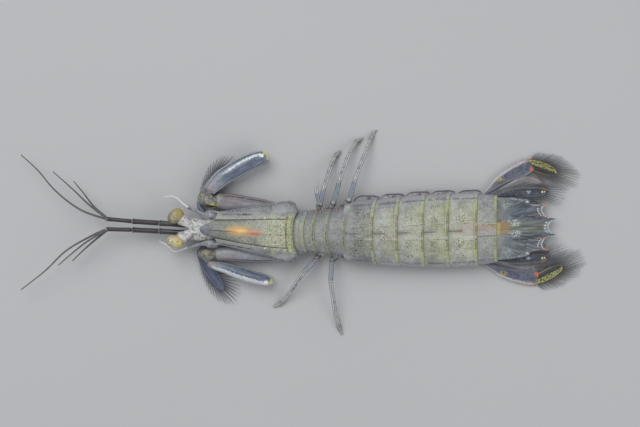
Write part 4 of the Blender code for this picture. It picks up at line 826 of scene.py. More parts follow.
def tergite_finish(index, settings):
    """A free somite's plate: yellow-green rear rim with dark dashes, clusters of specks, pale flanks."""
    f = Finish(SOMITES[index][0] + "_shell")
    base, fine = shell_base(f, settings, *SOMITE_LIGHT[index])
    dark, yellow, white, ochre = (tuple(c) for c in (settings.dark, settings.yellow, settings.white, settings.ochre))
    abdomen, span = index >= FIRST_ABDOMINAL, SOMITES[index][1]
    mm, ragged = 1 / span, f.noise(0.5, 2.0)
    along = f.along + (f.noise(0.8, 3.0) - 0.5) * (0.5 * mm)
    rim = along.smooth(1 - 1.05 * mm, 1 - 0.6 * mm)
    edge = f.along.line(1 - 0.12 * mm, 0.3 * mm)
    centre = f.side.smooth(0.56, 0.48)
    warm = 1.0 if 5 <= index <= 8 else 0.3
    layers = [((1 - f.up) * 0.6, (0.30, 0.26, 0.29)), (f.along.smooth(0.3, 0.0) * 0.25, (0.36, 0.35, 0.38))]
    if index == 0:
        layers += [(f.side.smooth(0.95, 0.6) * 0.35, (0.36, 0.385, 0.25)), (f.along.line(0.92, 0.07) * 0.45, yellow)]
        layers += [(f.dots(0.6, 0.4, 0.23) * 0.7, (0.06, 0.07, 0.02))]
    elif not abdomen:
        layers += [
            (f.noise(1.5, 3.0, f.stretched(0.5, 1, 1)).smooth(0.5, 0.66) * 0.4, (0.25, 0.255, 0.30)),
            (rim * 0.45, (0.33, 0.37, 0.25)),
            (f.along.line(1 - 0.2 * mm, 0.14 * mm) * ragged.smooth(0.36, 0.5) * 0.7, ochre),
            (f.along.line(1 - 0.42 * mm, 0.18 * mm) * centre * f.dots(0.45, 0.9, 0.4).most(ragged.smooth(0.48, 0.53)),
             (0.05, 0.04, 0.015)),
            (f.along.line(1 - 0.3 * mm, 0.14 * mm) * (1 - centre) * ragged.smooth(0.3, 0.45) * 0.7, (0.12, 0.14, 0.05)),
            (f.dots(0.5, 0.45, 0.24) * f.along.line(0.4, 0.28) * f.side.line(0.45, 0.14) * 0.85, dark),
            (f.across.line(0.0, 0.02) * f.along.smooth(0.55, 0.3) * 0.5, (0.10, 0.09, 0.10)),
            (f.side.smooth(0.84, 0.94) * 0.6, (0.27, 0.19, 0.20)),
        ]
    else:
        tone = (0.11, 0.022, 0.015) if index == 5 else dark
        layers += [
            (f.side.smooth(0.9, 0.6) * f.along.smooth(0.3, 0.75) * 0.25 * warm, (0.48, 0.48, 0.26)),
            (rim * 0.45, (0.42, 0.44, 0.24)),
            (rim * ragged.smooth(0.48, 0.58) * 0.55, (0.56, 0.58, 0.40)),
            (rim * f.side.line(0.62, 0.16) * ragged.smooth(0.44, 0.54) * (0.6 if index > 5 else 0.25), yellow),
            (edge * ragged.smooth(0.3, 0.46) * centre * 0.75, ochre),
            (edge * (1 - centre) * 0.55, (0.36, 0.42, 0.15)),
            (rim * f.side.smooth(0.72, 0.86) * 0.6, (0.44, 0.52, 0.38)),
            (f.along.line(1 - 0.5 * mm, 0.26 * mm) * centre * f.dots(0.42, 0.8, 0.36), (0.05, 0.042, 0.012)),
            (f.along.line(1 - 0.45 * mm, 0.12 * mm) * centre * ragged.smooth(0.47, 0.53) * 0.8, (0.06, 0.05, 0.015)),
            (f.across.line(0.2, 0.018).most(f.across.line(-0.2, 0.018)) * f.along.smooth(0.3, 0.6) * 0.55, (0.13, 0.15, 0.03)),
            (f.across.line(0.17, 0.06).most(f.across.line(-0.17, 0.06)) * f.along.smooth(0.6, 0.85) * 0.5, white),
            (f.side.line(0.47, 0.01) * f.along.smooth(0.45, 0.7) * 0.3, (0.16, 0.18, 0.06)),
            (f.across.line(0.0, 0.03) * f.along.smooth(0.65, 0.35) * 0.6, (0.07, 0.055, 0.06)),
            (f.across.line(0.0, 0.09) * f.along.smooth(0.5, 0.1) * 0.4, (0.16, 0.14, 0.15)),
        ]
        clusters = f.side.line(0.35, 0.13).most(f.side.line(0.68, 0.08)) * f.along.line(0.45, 0.2)
        if index == 5:
            clusters = f.side.line(0.16, 0.2) * f.along.line(0.38, 0.2) * 1.6
        if index == 4:
            clusters = f.side.smooth(0.8, 0.7) * f.along.line(0.5, 0.3) * 0.7
        layers += [
            (f.dots(0.42, 0.7 if index == 5 else 0.6, 0.34) * (clusters * f.noise(0.8).smooth(0.38, 0.5)).smooth(0.1, 0.4) * 0.9, tone),
            (f.dots(0.42, 0.45, 0.3) * f.side.smooth(0.13, 0.07) * f.along.line(0.45, 0.22) * 0.8, (0.12, 0.05, 0.02)),
            (f.dots(0.8, 0.2, 0.17) * f.side.smooth(0.8, 0.7) * 0.7, dark),
            (f.side.line(0.86, 0.035) * f.noise(1.3).smooth(0.35, 0.6) * 0.6, (0.10, 0.075, 0.10)),
            (f.side.smooth(0.9, 0.95) * 0.6, (0.40, 0.38, 0.42)),
            (f.spot(somite_starts()[index] + 1.0, SOMITES[index][2] * 0.83, 0.4, 0.32, 0.6, True) * 0.5, (0.7, 0.7, 0.66)),
            (f.along.smooth(0.22, 0.02) * f.side.line(0.85, 0.12) * 0.6, (0.46, 0.53, 0.38)),
        ]
    if index == 4:
        layers += [(f.noise(1.6, 2.0).smooth(0.5, 0.66) * 0.35, (0.33, 0.36, 0.42))]
    if index == 8:
        patch = f.across.line(0.0, 0.26) * f.along.smooth(0.36, 0.5) * f.along.smooth(0.93, 0.88)
        layers += [
            (patch * ragged.smooth(0.25, 0.5) * 0.6, (0.45, 0.38, 0.37)),
            (f.dots(0.45, 0.5, 0.3) * patch * 0.4, (0.6, 0.6, 0.55)),
            (f.across.line(-0.2, 0.06) * f.along.smooth(0.4, 0.6) * f.along.smooth(0.98, 0.9) * ragged.smooth(0.3, 0.5)
             * 0.7, (0.60, 0.62, 0.55)),
            (f.side.line(0.27, 0.014) * f.along.smooth(0.4, 0.5) * 0.7, (0.26, 0.28, 0.08)),
            (f.along.line(0.9, 0.03) * f.side.smooth(0.25, 0.2) * ragged.smooth(0.35, 0.5) * 0.7, (0.42, 0.22, 0.15)),
            (f.spot(44.4, 0.1, 0.6, 0.45, 0.7) * ragged.smooth(0.35, 0.5) * 0.8, (0.24, 0.11, 0.03)),
        ]
    if index == 9:
        layers += [
            (f.across.line(-0.03, 0.12) * 0.5, (0.48, 0.39, 0.40)),
            (f.across.line(0.09, 0.05) * ragged.smooth(0.34, 0.52) * 0.7, (0.46, 0.28, 0.12)),
            (f.across.line(0.13, 0.03) * f.along.smooth(0.2, 0.7) * 0.6, ochre),
            (f.across.line(-0.18, 0.02) * 0.7, (0.10, 0.10, 0.10)),
            (f.along.line(0.91, 0.06) * f.side.smooth(0.62, 0.76) * f.side.smooth(0.99, 0.95) * ragged.smooth(0.3, 0.45)
             * 0.95, (0.60, 0.60, 0.14)),
            (f.along.line(0.965, 0.025) * 0.7, (0.44, 0.46, 0.20)),
            (f.side.smooth(0.2, 0.4) * 0.3, (0.25, 0.27, 0.26)),
        ]
    base = f.layers(base, *layers)
    height = f.noise(0.3, 3.0) - f.specks(0.55, 0.5, 0.25) * 0.3 - f.along.line(1 - 1.0 * mm, 0.12 * mm) * 1.2
    return f.done(base, 0.34 + fine * 0.3, height, 0.05, coat=0.12)


def telson_finish(settings):
    """The telson: clear blue-green with fine raying lines, orange root, red teeth and a pale edge."""
    f = Finish("telson_shell")
    dark, white, red = (tuple(c) for c in (settings.dark, settings.white, settings.red))
    fine, cloud = f.noise(0.4, 3.0), f.noise(1.6, 3.0)
    fan = f.across / (f.along + 0.45)
    rays = f.noise(0.5, 3.0, f.node("ShaderNodeCombineXYZ", inputs={0: f.along * 1.2, 1: fan * 10.0, 2: 0.0}))
    bands = f.noise(0.8, 3.0, f.node("ShaderNodeCombineXYZ", inputs={0: f.along * 1.6, 1: fan * 5.0, 2: 1.0}))
    x, y = f.x, abs(f.y)
    base = f.mix(f.along.smooth(0.0, 0.35), (0.25, 0.27, 0.25), (0.098, 0.115, 0.132))
    base = f.layers(base, (f.y.smooth(-0.8, -3.0) * f.along.smooth(0.05, 0.3) * 0.8, (0.045, 0.062, 0.07)))
    tooth = y.line(3.05, 0.75) * f.along.smooth(0.9, 0.97)
    outer_tooth = f.side.smooth(0.9, 0.97) * f.along.smooth(0.8, 0.93)
    arc = f.side.line(0.63, 0.27) * f.along.smooth(0.895, 0.915)
    notch = f.side.smooth(0.29, 0.25)
    stroke = fine.smooth(0.44, 0.54)
    base = f.layers(
        base,
        (f.across.smooth(-0.1, -0.7) * f.along.smooth(0.1, 0.4) * 0.3, (0.07, 0.085, 0.095)),
        (bands.smooth(0.5, 0.6) * 0.5, (0.20, 0.23, 0.28)),
        (bands.smooth(0.45, 0.36) * f.along.smooth(0.1, 0.4) * 0.5, (0.055, 0.065, 0.085)),
        (f.side.smooth(0.32, 0.1) * f.along.smooth(0.25, 0.4) * 0.75, (0.135, 0.15, 0.085)),
        (rays.smooth(0.5, 0.6) * f.along.smooth(0.05, 0.35) * 0.6, (0.25, 0.285, 0.34)),
        (rays.smooth(0.47, 0.38) * f.along.smooth(0.15, 0.45) * 0.65, (0.04, 0.048, 0.06)),
        (f.noise(0.9, 3.0).smooth(0.54, 0.64) * f.along.line(0.72, 0.2) * f.side.line(0.4, 0.25) * 0.45, (0.27, 0.19, 0.20)),
        (cloud.smooth(0.5, 0.65) * f.along.smooth(0.5, 0.1) * 0.5, (0.34, 0.37, 0.34)),
        (f.spot(57.6, 6.8, 1.9, 1.3, 0.7, True) * fine.smooth(0.46, 0.6) * 0.7, (0.44, 0.50, 0.45)),
        (f.spot(60.0, 1.2, 1.6, 0.75, 0.6, True) * fine.smooth(0.42, 0.54) * 0.95, (0.50, 0.60, 0.51)),
        (f.spot(60.4, 2.2, 1.1, 0.22, 0.5, True) * fine.smooth(0.42, 0.52) * 0.9, (0.56, 0.64, 0.60)),
        (f.spot(58.2, 2.1, 0.5, 0.35, 0.7, True) * stroke * 0.75, (0.66, 0.72, 0.68)),
        (f.spot(56.5, 0.3, 2.3, 1.85, 0.5) * f.noise(0.7).smooth(0.3, 0.5) * 0.85, (0.38, 0.235, 0.10)),
        (f.spot(57.2, 0.3, 1.1, 1.1, 0.7) * fine.smooth(0.45, 0.6) * 0.7, (0.46, 0.30, 0.13)),
        (f.spot(55.1, 0.25, 0.5, 2.1, 0.5) * 0.85, (0.54, 0.47, 0.17)),
        (f.spot(55.3, 2.3, 0.6, 0.5, 0.5) * 0.7, (0.10, 0.10, 0.03)),
        (f.spot(55.6, 6.6, 0.6, 1.3, 0.6, True) * 0.4, (0.05, 0.06, 0.09)),
        (f.side.line(0.955, 0.03) * f.along.smooth(0.22, 0.3) * f.along.smooth(0.6, 0.55) * stroke * 0.8,
         (0.50, 0.52, 0.50)),
        (arc * (1 - outer_tooth) * 0.6, (0.20, 0.23, 0.21)),
        (notch * f.along.smooth(0.88, 0.92) * fine.smooth(0.4, 0.55) * 0.65, (0.44, 0.48, 0.50)),
        (f.side.line(0.42, 0.09) * f.along.line(0.86, 0.07) * fine.smooth(0.42, 0.52) * 0.75, (0.46, 0.50, 0.52)),
        (f.along.smooth(0.965, 0.985) * (1 - tooth) * 0.85, (0.62, 0.63, 0.60)),
        (tooth * f.along.smooth(0.88, 0.97), (0.55, 0.27, 0.26)),
        (y.line(3.0, 0.75) * f.along.line(0.885, 0.05) * 0.7, (0.14, 0.03, 0.035)),
        (outer_tooth * f.along.smooth(0.86, 0.98), (0.56, 0.24, 0.21)),
        (f.side.line(0.93, 0.035) * f.along.line(0.8, 0.12) * 0.6, (0.50, 0.48, 0.46)),
        (f.spot(63.7, 7.3, 0.5, 0.32, 0.6, True) * fine.smooth(0.35, 0.48), (0.66, 0.67, 0.66)),
        (f.spot(66.2, 7.0, 1.5, 0.4, 0.5, True) * 0.8, (0.03, 0.03, 0.035)),
        (f.dots(0.5, 0.3, 0.2) * f.along.smooth(0.6, 0.1) * 0.5, dark),
    )
    height = f.noise(0.35, 3.0) + rays * 0.8
    return f.done(base, 0.26 + fine * 0.28, height, 0.05, coat=0.25)


def flesh_finish(name, pale, deep, settings, blush=(0.36, 0.24, 0.27)):
    """Soft skin: milky patches over a darker ground."""
    f = Finish(name)
    cloud, fine = f.noise(0.9, 4.0), f.noise(0.4, 2.0)
    base = f.mix((cloud + (fine - 0.5) * 0.4).smooth(0.36, 0.52), deep, pale)
    base = f.layers(
        base,
        (f.noise(2.0, 2.0).smooth(0.5, 0.65) * 0.35, blush),
        (fine.smooth(0.42, 0.32) * 0.5, tuple(c * 0.45 for c in deep)),
        (f.specks(0.6, 0.4, 0.25) * 0.8, tuple(settings.dark)),
    )
    return f.done(base, 0.3 + cloud * 0.3, f.noise(0.3, 3.0), 0.06, coat=0.2)


def limb_finish(name, settings, pale=None, core=None, joints=(), clear=0.0):
    """A clear limb: thin dark outline, milky walls round a dark core, and milky joints at shares of its length.

    Up to the share clear it is glassy blue-grey.
    """
    f = Finish(name)
    pale, core = pale or tuple(settings.pale), core or tuple(settings.core)
    cloud, fine = f.noise(0.9, 3.0), f.noise(0.4, 2.0)
    lines = f.node("ShaderNodeCombineXYZ", inputs={0: f.along * 6.0, 1: f.across * 1.6, 2: f.up * 0.4})
    streak = f.noise(0.7, 3.0, lines)
    base = f.mix((cloud + fine * 0.4 - 0.2).smooth(0.36, 0.56), core, tuple(0.55 * p + 0.45 * c for p, c in zip(pale, core)))
    walls = f.side.line(0.5, 0.42) * (streak + (cloud - 0.5) * 0.4).smooth(0.28, 0.42)
    layers = [
        (walls * 0.95, pale),
        (walls * fine.smooth(0.5, 0.6) * 0.5, tuple(min(c * 1.35, 0.9) for c in pale)),
        (f.side.smooth(0.26, 0.1) * streak.smooth(0.6, 0.45) * 0.8, tuple(c * 0.6 for c in core)),
    ]
    if clear:
        glassy = f.along.smooth(clear + 0.02, clear - 0.02)
        layers += [
            (glassy * 0.8, (0.17, 0.205, 0.255)),
            (glassy * streak.smooth(0.5, 0.62) * 0.5, (0.33, 0.37, 0.42)),
            (glassy * f.side.line(0.6, 0.16) * cloud.smooth(0.4, 0.55) * 0.7, (0.50, 0.53, 0.55)),
            (glassy * f.side.smooth(0.3, 0.0) * 0.5, (0.10, 0.12, 0.155)),
        ]
    layers.append((f.side.smooth(0.7, 0.86) * 0.85, (0.085, 0.09, 0.105)))
    for share, width in joints:
        layers.append((f.along.line(share, width) * cloud.smooth(0.35, 0.55) * f.side.smooth(0.95, 0.8) * 0.8, (0.52, 0.53, 0.47)))
        layers.append((f.along.line(share, width * 0.2) * 0.8, (0.06, 0.05, 0.045)))
    return f.done(f.layers(base, *layers), 0.28 + cloud * 0.25, f.noise(0.25, 3.0), 0.04, coat=0.25)


def wrist_marks(f):
    """The black slit and the yellow fold between the right claw's wrist and its arm."""
    fine = f.noise(0.4, 3.0)
    lean = (f.x + 25.6) * 0.13
    return (
        (f.spot(-24.2, 8.9, 1.6, 1.9, 0.7) * fine.smooth(0.42, 0.55) * 0.5, (0.40, 0.41, 0.34)),
        (f.node("ShaderNodeMath", {"operation": "ADD"}, {0: f.y, 1: lean}).line(7.3, 0.45) * f.x.line(-24.8, 1.7)
         * fine.smooth(0.34, 0.46) * 0.95, (0.55, 0.53, 0.12)),
        ((f.y + lean).line(6.72, 0.5) * f.x.line(-25.6, 2.1) * 0.95, (0.02, 0.02, 0.018)),
    )


def arm_finish(settings, side):
    """The claw's arm: pinkish lilac, or blue-grey on the left, with long dark lines and a beige end."""
    f = Finish("claw_arm_skin_" + side)
    right = side == "right"
    cloud, fine = f.noise(1.2, 3.0), f.noise(0.4, 3.0)
    streak = f.noise(0.6, 3.0, f.stretched(0.14, 1.0, 1.0))
    outer = f.across * (-1.0 if right else 1.0)
    ground = tuple(settings.lilac) if right else (0.35, 0.385, 0.43)
    base = f.mix(cloud.smooth(0.35, 0.6), ground, (0.2, 0.205, 0.23) if right else (0.28, 0.30, 0.33))
    base = f.layers(
        base,
        (outer.smooth(0.1, -0.5) * 0.5, (0.27, 0.29, 0.33)),
        (streak.smooth(0.5, 0.64) * 0.5, (0.36, 0.35, 0.38)),
        (streak.smooth(0.46, 0.36) * 0.45, (0.115, 0.095, 0.115)),
        (fine.smooth(0.55, 0.65) * 0.35, (0.42, 0.41, 0.42)),
        (outer.line(0.72, 0.09) * f.noise(0.9).smooth(0.25, 0.4) * 0.8, (0.045, 0.035, 0.04)),
        (outer.line(0.86, 0.06) * 0.5, (0.40, 0.35, 0.37)),
        (outer.smooth(0.9, 0.96) * 0.75, (0.07, 0.055, 0.06)),
        (f.spot(-19.5, 9.3 if right else -7.4, 2.2, 1.2, 0.9) * cloud.smooth(0.4, 0.6) * 0.5, (0.36, 0.24, 0.26)),
        (f.specks(0.55, 0.25, 0.22) * 0.7, (0.04, 0.035, 0.035)),
        (f.x.smooth(-21.2, -22.8) * fine.smooth(0.34, 0.54) * 0.75, (0.27, 0.265, 0.22)),
    )
    if right:
        orange = f.along.line(0.3, 0.09) * outer.line(0.5, 0.35) * fine.smooth(0.4, 0.52)
        base = f.layers(base, (orange * 0.75, (0.42, 0.29, 0.12)), *wrist_marks(f))
    return f.done(base, 0.3 + cloud * 0.25, f.noise(0.3, 3.0), 0.05, coat=0.2)


def wrist_finish(settings, side):
    """The wrist: beige and white with dark flecks, and on the right a black slit with a yellow fold."""
    f = Finish("claw_wrist_skin_" + side)
    cloud, fine = f.noise(0.8, 3.0), f.noise(0.4, 3.0)
    base = f.mix(cloud.smooth(0.4, 0.6), tuple(settings.beige), (0.185, 0.18, 0.165))
    base = f.layers(
        base,
        (f.noise(1.3, 3.0).smooth(0.5, 0.62) * 0.5, (0.24, 0.235, 0.28)),
        (fine.smooth(0.54, 0.64) * 0.6, (0.46, 0.46, 0.40)),
        (fine.smooth(0.45, 0.35) * 0.6, (0.12, 0.10, 0.10)),
        (f.x.smooth(-27.4, -28.3) * cloud.smooth(0.35, 0.6) * 0.6, (0.34, 0.34, 0.20)),
        (f.side.smooth(0.86, 0.96) * 0.6, (0.11, 0.10, 0.10)),
        (f.specks(0.5, 0.35, 0.25) * 0.7, (0.035, 0.03, 0.03)),
        *(wrist_marks(f) if side == "right" else ((f.spot(-27.0, -6.0, 1.2, 0.8, 0.6) * 0.5, (0.36, 0.36, 0.17)),)),
    )
    return f.done(base, 0.3 + cloud * 0.25, f.noise(0.3, 3.0), 0.05, coat=0.2)


def hand_finish(settings, side):
    """The claw's hand: glassy blue-grey with clear white edges, one broad white line and a yellow end."""
    f = Finish("claw_hand_skin_" + side)
    right = side == "right"
    cloud, fine = f.noise(0.9, 3.0), f.noise(0.35, 3.0)
    outer = f.across * (1.0 if right else -1.0)
    lines = f.node("ShaderNodeCombineXYZ", inputs={0: f.along * 7.0, 1: f.across * 3.2, 2: f.up})
    streak = f.noise(0.8, 3.0, lines)
    ragged = outer + (f.noise(0.6, 3.0) - 0.5) * 0.45
    if right:
        place = ragged - f.along.smooth(0.3, 0.75) * 0.14
        band = place.line(0.33, 0.2) * f.along.smooth(0.22, 0.42) * f.along.smooth(0.93, 0.88)
        cells = f.dots(0.55, 0.7, 0.3) * outer.line(0.5, 0.4) * f.along.line(0.2, 0.2) * 0.6
        blotch = f.along.line(0.845, 0.075) * ragged.line(0.3, 0.36)
    else:
        band = ragged.smooth(0.12, 0.3) * f.along.smooth(0.0, 0.08) * outer.smooth(0.98, 0.9)
        cells = f.dots(0.5, 0.5, 0.28) * ragged.line(0.1, 0.2) * f.along.smooth(0.2, 0.4) * 0.5
        blotch = f.along.line(0.86, 0.06) * ragged.line(0.3, 0.45)
    base = f.mix(cloud.smooth(0.4, 0.6), tuple(settings.blue), (0.135, 0.165, 0.225))
    base = f.layers(
        base,
        (streak.smooth(0.52, 0.64) * 0.5, (0.23, 0.27, 0.35)),
        (streak.smooth(0.47, 0.38) * 0.5, (0.07, 0.085, 0.13)),
        (fine.smooth(0.56, 0.66) * 0.2, (0.36, 0.39, 0.45)),
        (f.along.smooth(0.42, 0.05) * 0.55, (0.30, 0.315, 0.345)),
        (f.along.smooth(0.3, 0.1) * fine.smooth(0.5, 0.6) * 0.6, (0.50, 0.51, 0.52)),
        (cells, (0.09, 0.10, 0.13)),
        (band * 0.85, (0.60, 0.63, 0.66)),
        (band * fine.smooth(0.48, 0.58) * 0.8, (0.78, 0.80, 0.81)),
        (f.side.line(0.9, 0.06) * 0.85, (0.60, 0.62, 0.64)),
        (f.side.line(0.8, 0.05) * 0.55, (0.05, 0.06, 0.09)),
        (f.side.smooth(0.955, 0.985) * 0.6, (0.11, 0.12, 0.14)),
        (f.along.smooth(0.9, 0.95) * 0.6, (0.25, 0.25, 0.235)),
        (blotch, (0.88, 0.88, 0.85)),
        (f.along.smooth(0.86, 0.93) * outer.smooth(0.35, 0.65) * fine.smooth(0.3, 0.45) * 0.95, (0.66, 0.64, 0.20)),
        (f.along.smooth(0.975, 0.995) * 0.75, (0.60, 0.59, 0.30)),
        (f.spot(-26.0 if right else -25.2, 11.6 if right else -9.5, 1.0, 0.8, 0.8) * fine.smooth(0.36, 0.5) * 0.6,
         (0.42, 0.26, 0.23)),
    )
    return f.done(base, 0.24 + cloud * 0.22, f.noise(0.3, 3.0), 0.05, coat=0.3)


def feeler_finish(settings, name, ring_count, tint, pale, joints=()):
    """A feeler: dark and glassy with rings, streaks, paler joints and a pale lower edge."""
    f = Finish(name)
    cloud, fine = f.noise(0.7, 3.0), f.noise(0.35, 2.0, f.stretched(0.5, 1.5, 1.5))
    rings = (f.along * (ring_count * math.tau)).maths("SINE")
    base = f.mix(f.side.smooth(0.5, 0.9) * 0.6, tint, pale)
    layers = [
        (fine.smooth(0.54, 0.64) * 0.6, pale),
        (cloud.smooth(0.5, 0.7) * 0.5, tuple(c * 0.5 for c in tint)),
        (rings.smooth(0.55, 0.95) * 0.4, pale),
    ]
    for share in joints:
        layers.append((f.along.line(share, 0.03) * cloud.smooth(0.35, 0.5) * 0.9, (0.50, 0.47, 0.36)))
        layers.append((f.along.line(share + 0.012, 0.01) * 0.8, (0.04, 0.03, 0.03)))
    return f.done(f.layers(base, *layers), 0.3 + cloud * 0.2, rings * 0.5 + fine, 0.04, coat=0.2)


def eye_finish(settings, side):
    """The eye: greyish beige in front, yellow behind, with a bright band, pale rim and small dark false pupils, a
    painted highlight and painted sheen on its top and painted shade down its sides; the right eye is painted as a
    darker, shaded copy of the left.
    """
    f = Finish("eye_skin_" + side)
    facets = f.node(
        "ShaderNodeTexVoronoi", {"feature": "DISTANCE_TO_EDGE"}, {"Vector": f.flat, "Scale": 7.0, "Randomness": 0.3}
    )
    cloud, fine = f.noise(0.9, 2.0), f.noise(0.4, 3.0)
    ring = ((f.along + 0.42) * (f.along + 0.42) * 5.0 + f.across * f.across * 9.0).maths("POWER", 0.5)
    # painted light and shade: the same eye is made as a darker, shaded copy on the right and a paler, lit copy on the
    # left
    bright = 0.68 if side == "right" else 1.1
    yellow, grey = tuple(c * bright for c in settings.eye), tuple(c * bright for c in (0.47, 0.44, 0.29))
    base = f.mix(f.along.smooth(-0.35, 0.3), grey, yellow)
    base = f.layers(
        base,
        # painted shade: the eye darkens down its sides away from the top
        (f.up.smooth(0.75, 0.15) * 0.6, (0.30, 0.25, 0.12)),
        (f.along.smooth(0.15, 0.7) * 0.55, (0.60, 0.45, 0.08)),
        # painted sheen: pale mottling laid on the eye's upward-facing top
        (cloud.smooth(0.46, 0.62) * f.up.smooth(0.4, 0.9) * 0.6, (0.76, 0.71, 0.47)),
        (f.along.line(0.03, 0.06) * 0.45, (0.66, 0.63, 0.50)),
        # painted highlight: a bright spot on the top of the front lobe
        (f.along.line(-0.42, 0.26) * f.across.line(0.0, 0.5) * f.up.smooth(0.4, 0.8) * 0.7, (0.86, 0.83, 0.60)),
        (f.up.smooth(0.3, 0.1) * 0.7, (0.50, 0.47, 0.41)),
        (ring.line(0.5, 0.16) * fine.smooth(0.38, 0.48) * f.up.smooth(0.3, 0.6) * 0.9, (0.10, 0.055, 0.02)),
        (f.along.line(0.36, 0.06) * f.across.line(0.05, 0.2) * fine.smooth(0.42, 0.5) * 0.85, (0.16, 0.09, 0.03)),
        (fine.smooth(0.56, 0.64) * 0.3, (0.34, 0.27, 0.09)),
        (facets.smooth(0.06, 0.0) * 0.3, (0.34, 0.28, 0.11)),
    )
    # painted shade: the right eye is darkened and browned further
    if side == "right":
        base = f.mix(0.28, base, (0.16, 0.13, 0.02))
    return f.done(base, 0.16 + cloud * 0.1, facets.smooth(0.0, 0.2), 0.03, coat=0.5)


def blade_finish(name, settings, side, kind):
    """A blade of the tail fan or the antennal scale: clear blue-grey with ribs and a pale outer edge."""
    f = Finish(f"{name}_skin_{side}")
    yellow, red = tuple(settings.fan_yellow), tuple(settings.fan_red)
    cloud, fine = f.noise(1.0, 3.0), f.noise(0.4, 3.0)
    ribs = f.noise(0.4, 3.0, f.node("ShaderNodeCombineXYZ", inputs={0: f.along * 2.0, 1: f.across * 4.0, 2: f.up}))
    outer = f.across * (1.0 if side == "right" else -1.0)
    base = f.mix(cloud.smooth(0.4, 0.62), tuple(settings.fan), (0.125, 0.135, 0.175))
    layers = [
        (ribs.smooth(0.52, 0.64) * 0.5, (0.20, 0.22, 0.28)),
        (ribs.smooth(0.46, 0.36) * 0.55, (0.035, 0.04, 0.06)),
        (fine.smooth(0.56, 0.66) * 0.3, (0.30, 0.31, 0.36)),
    ]
    if kind == "plate":
        layers += [
            (f.along.smooth(0.45, 0.1) * 0.6, (0.25, 0.25, 0.28)),
            (outer.smooth(0.5, 0.75) * fine.smooth(0.36, 0.5) * 0.7, (0.40, 0.44, 0.52)),
            (outer.smooth(0.74, 0.88) * 0.85, (0.60, 0.61, 0.60)),
            (outer.smooth(0.85, 0.95) * f.along.smooth(0.5, 0.3) * 0.7, (0.60, 0.57, 0.30)),
            (outer.line(0.42, 0.1) * f.dots(0.5, 0.85, 0.34) * f.along.smooth(0.35, 0.5) * 0.7, (0.03, 0.035, 0.06)),
            (f.along.line(0.42, 0.09) * outer.line(0.3, 0.65) * fine.smooth(0.44, 0.54) * 0.9, (0.52, 0.38, 0.05)),
            (f.along.line(0.37, 0.08) * outer.line(-0.1, 0.5) * f.dots(0.5, 0.6, 0.34) * 0.9, (0.06, 0.04, 0.02)),
            (outer.smooth(-0.4, -0.85) * f.along.smooth(0.2, 0.4) * 0.5, (0.22, 0.21, 0.22)),
            (outer.smooth(-0.93, -0.98) * 0.5, (0.06, 0.055, 0.06)),
            (f.along.smooth(0.88, 0.97) * outer.smooth(-0.2, -0.55) * fine.smooth(0.34, 0.5), red),
            (f.along.smooth(0.93, 1.0) * outer.smooth(-0.2, 0.2) * fine.smooth(0.46, 0.56) * 0.7, (0.42, 0.19, 0.13)),
            (f.along.line(0.95, 0.05) * outer.line(0.35, 0.3) * fine.smooth(0.44, 0.54) * 0.8, (0.06, 0.10, 0.05)),
        ]
    elif kind == "paddle":
        rim = f.side.smooth(0.86, 0.95).most(f.along.smooth(0.955, 1.0)).most(f.along.smooth(0.04, 0.0))
        light = (outer + (fine - 0.5) * 0.3).smooth(0.02, 0.12)
        layers += [
            (1 - light, (0.03, 0.028, 0.026)),
            ((1 - light) * ribs.smooth(0.5, 0.64) * 0.5, (0.10, 0.105, 0.11)),
            (light * 0.95, (0.085, 0.09, 0.025)),
            (outer.line(0.06, 0.08) * fine.smooth(0.46, 0.56) * 0.85, (0.48, 0.47, 0.38)),
            (light * f.dots(0.42, 0.9, 0.4), (0.36, 0.37, 0.10)),
            (light * f.dots(0.5, 0.4, 0.26), (0.60, 0.61, 0.30)),
            (rim * 0.85, yellow),
            (f.along.line(0.91, 0.05) * outer.line(0.15, 0.3) * fine.smooth(0.3, 0.42), (0.80, 0.80, 0.52)),
            (f.along.smooth(0.08, 0.0) * outer.smooth(0.2, 0.7) * fine.smooth(0.4, 0.5) * 0.9, red),
        ]
    elif kind == "inner":
        layers += [
            (cloud.smooth(0.3, 0.5) * 0.8, (0.025, 0.03, 0.042)),
            (outer.smooth(0.1, 0.5) * 0.75, (0.03, 0.03, 0.04)),
            (fine.smooth(0.54, 0.62) * f.along.smooth(0.8, 0.3) * 0.5, (0.20, 0.25, 0.30)),
            (f.side.line(0.72, 0.08) * ribs.smooth(0.4, 0.56) * 0.5, (0.22, 0.24, 0.29)),
            (f.side.smooth(0.86, 0.94) * ribs.smooth(0.3, 0.5) * 0.8, (0.40, 0.42, 0.22)),
            (f.along.line(0.54, 0.045) * outer.line(-0.1, 0.45) * fine.smooth(0.42, 0.54), (0.46, 0.54, 0.64)),
            (f.along.line(0.77, 0.035).most(f.along.line(0.85, 0.035)) * outer.line(0.0, 0.42) * fine.smooth(0.36, 0.48),
             (0.82, 0.76, 0.40)),
            (f.along.smooth(0.7, 0.86) * outer.smooth(0.5, 0.8) * fine.smooth(0.34, 0.48) * 0.85, (0.46, 0.20, 0.18)),
        ]
    else:
        layers += [
            (fine.smooth(0.3, 0.5) * 0.4, (0.045, 0.08, 0.17)),
            (ribs.smooth(0.48, 0.6) * f.along.smooth(0.9, 0.5) * 0.55, (0.10, 0.13, 0.25)),
            (f.side.smooth(0.3, 0.1) * 0.3, (0.14, 0.17, 0.27)),
            (f.side.line(0.5, 0.12) * ribs.smooth(0.4, 0.5) * 0.6, (0.035, 0.04, 0.085)),
            (f.side.smooth(0.75, 0.9) * 0.6, (0.25, 0.235, 0.27)),
            (f.along.smooth(0.75, 1.0) * 0.35, (0.22, 0.22, 0.26)),
        ]
    height = ribs + f.noise(0.3, 2.0) * 0.5
    return f.done(f.layers(base, *layers), 0.26 + cloud * 0.22, height, 0.05, coat=0.25)


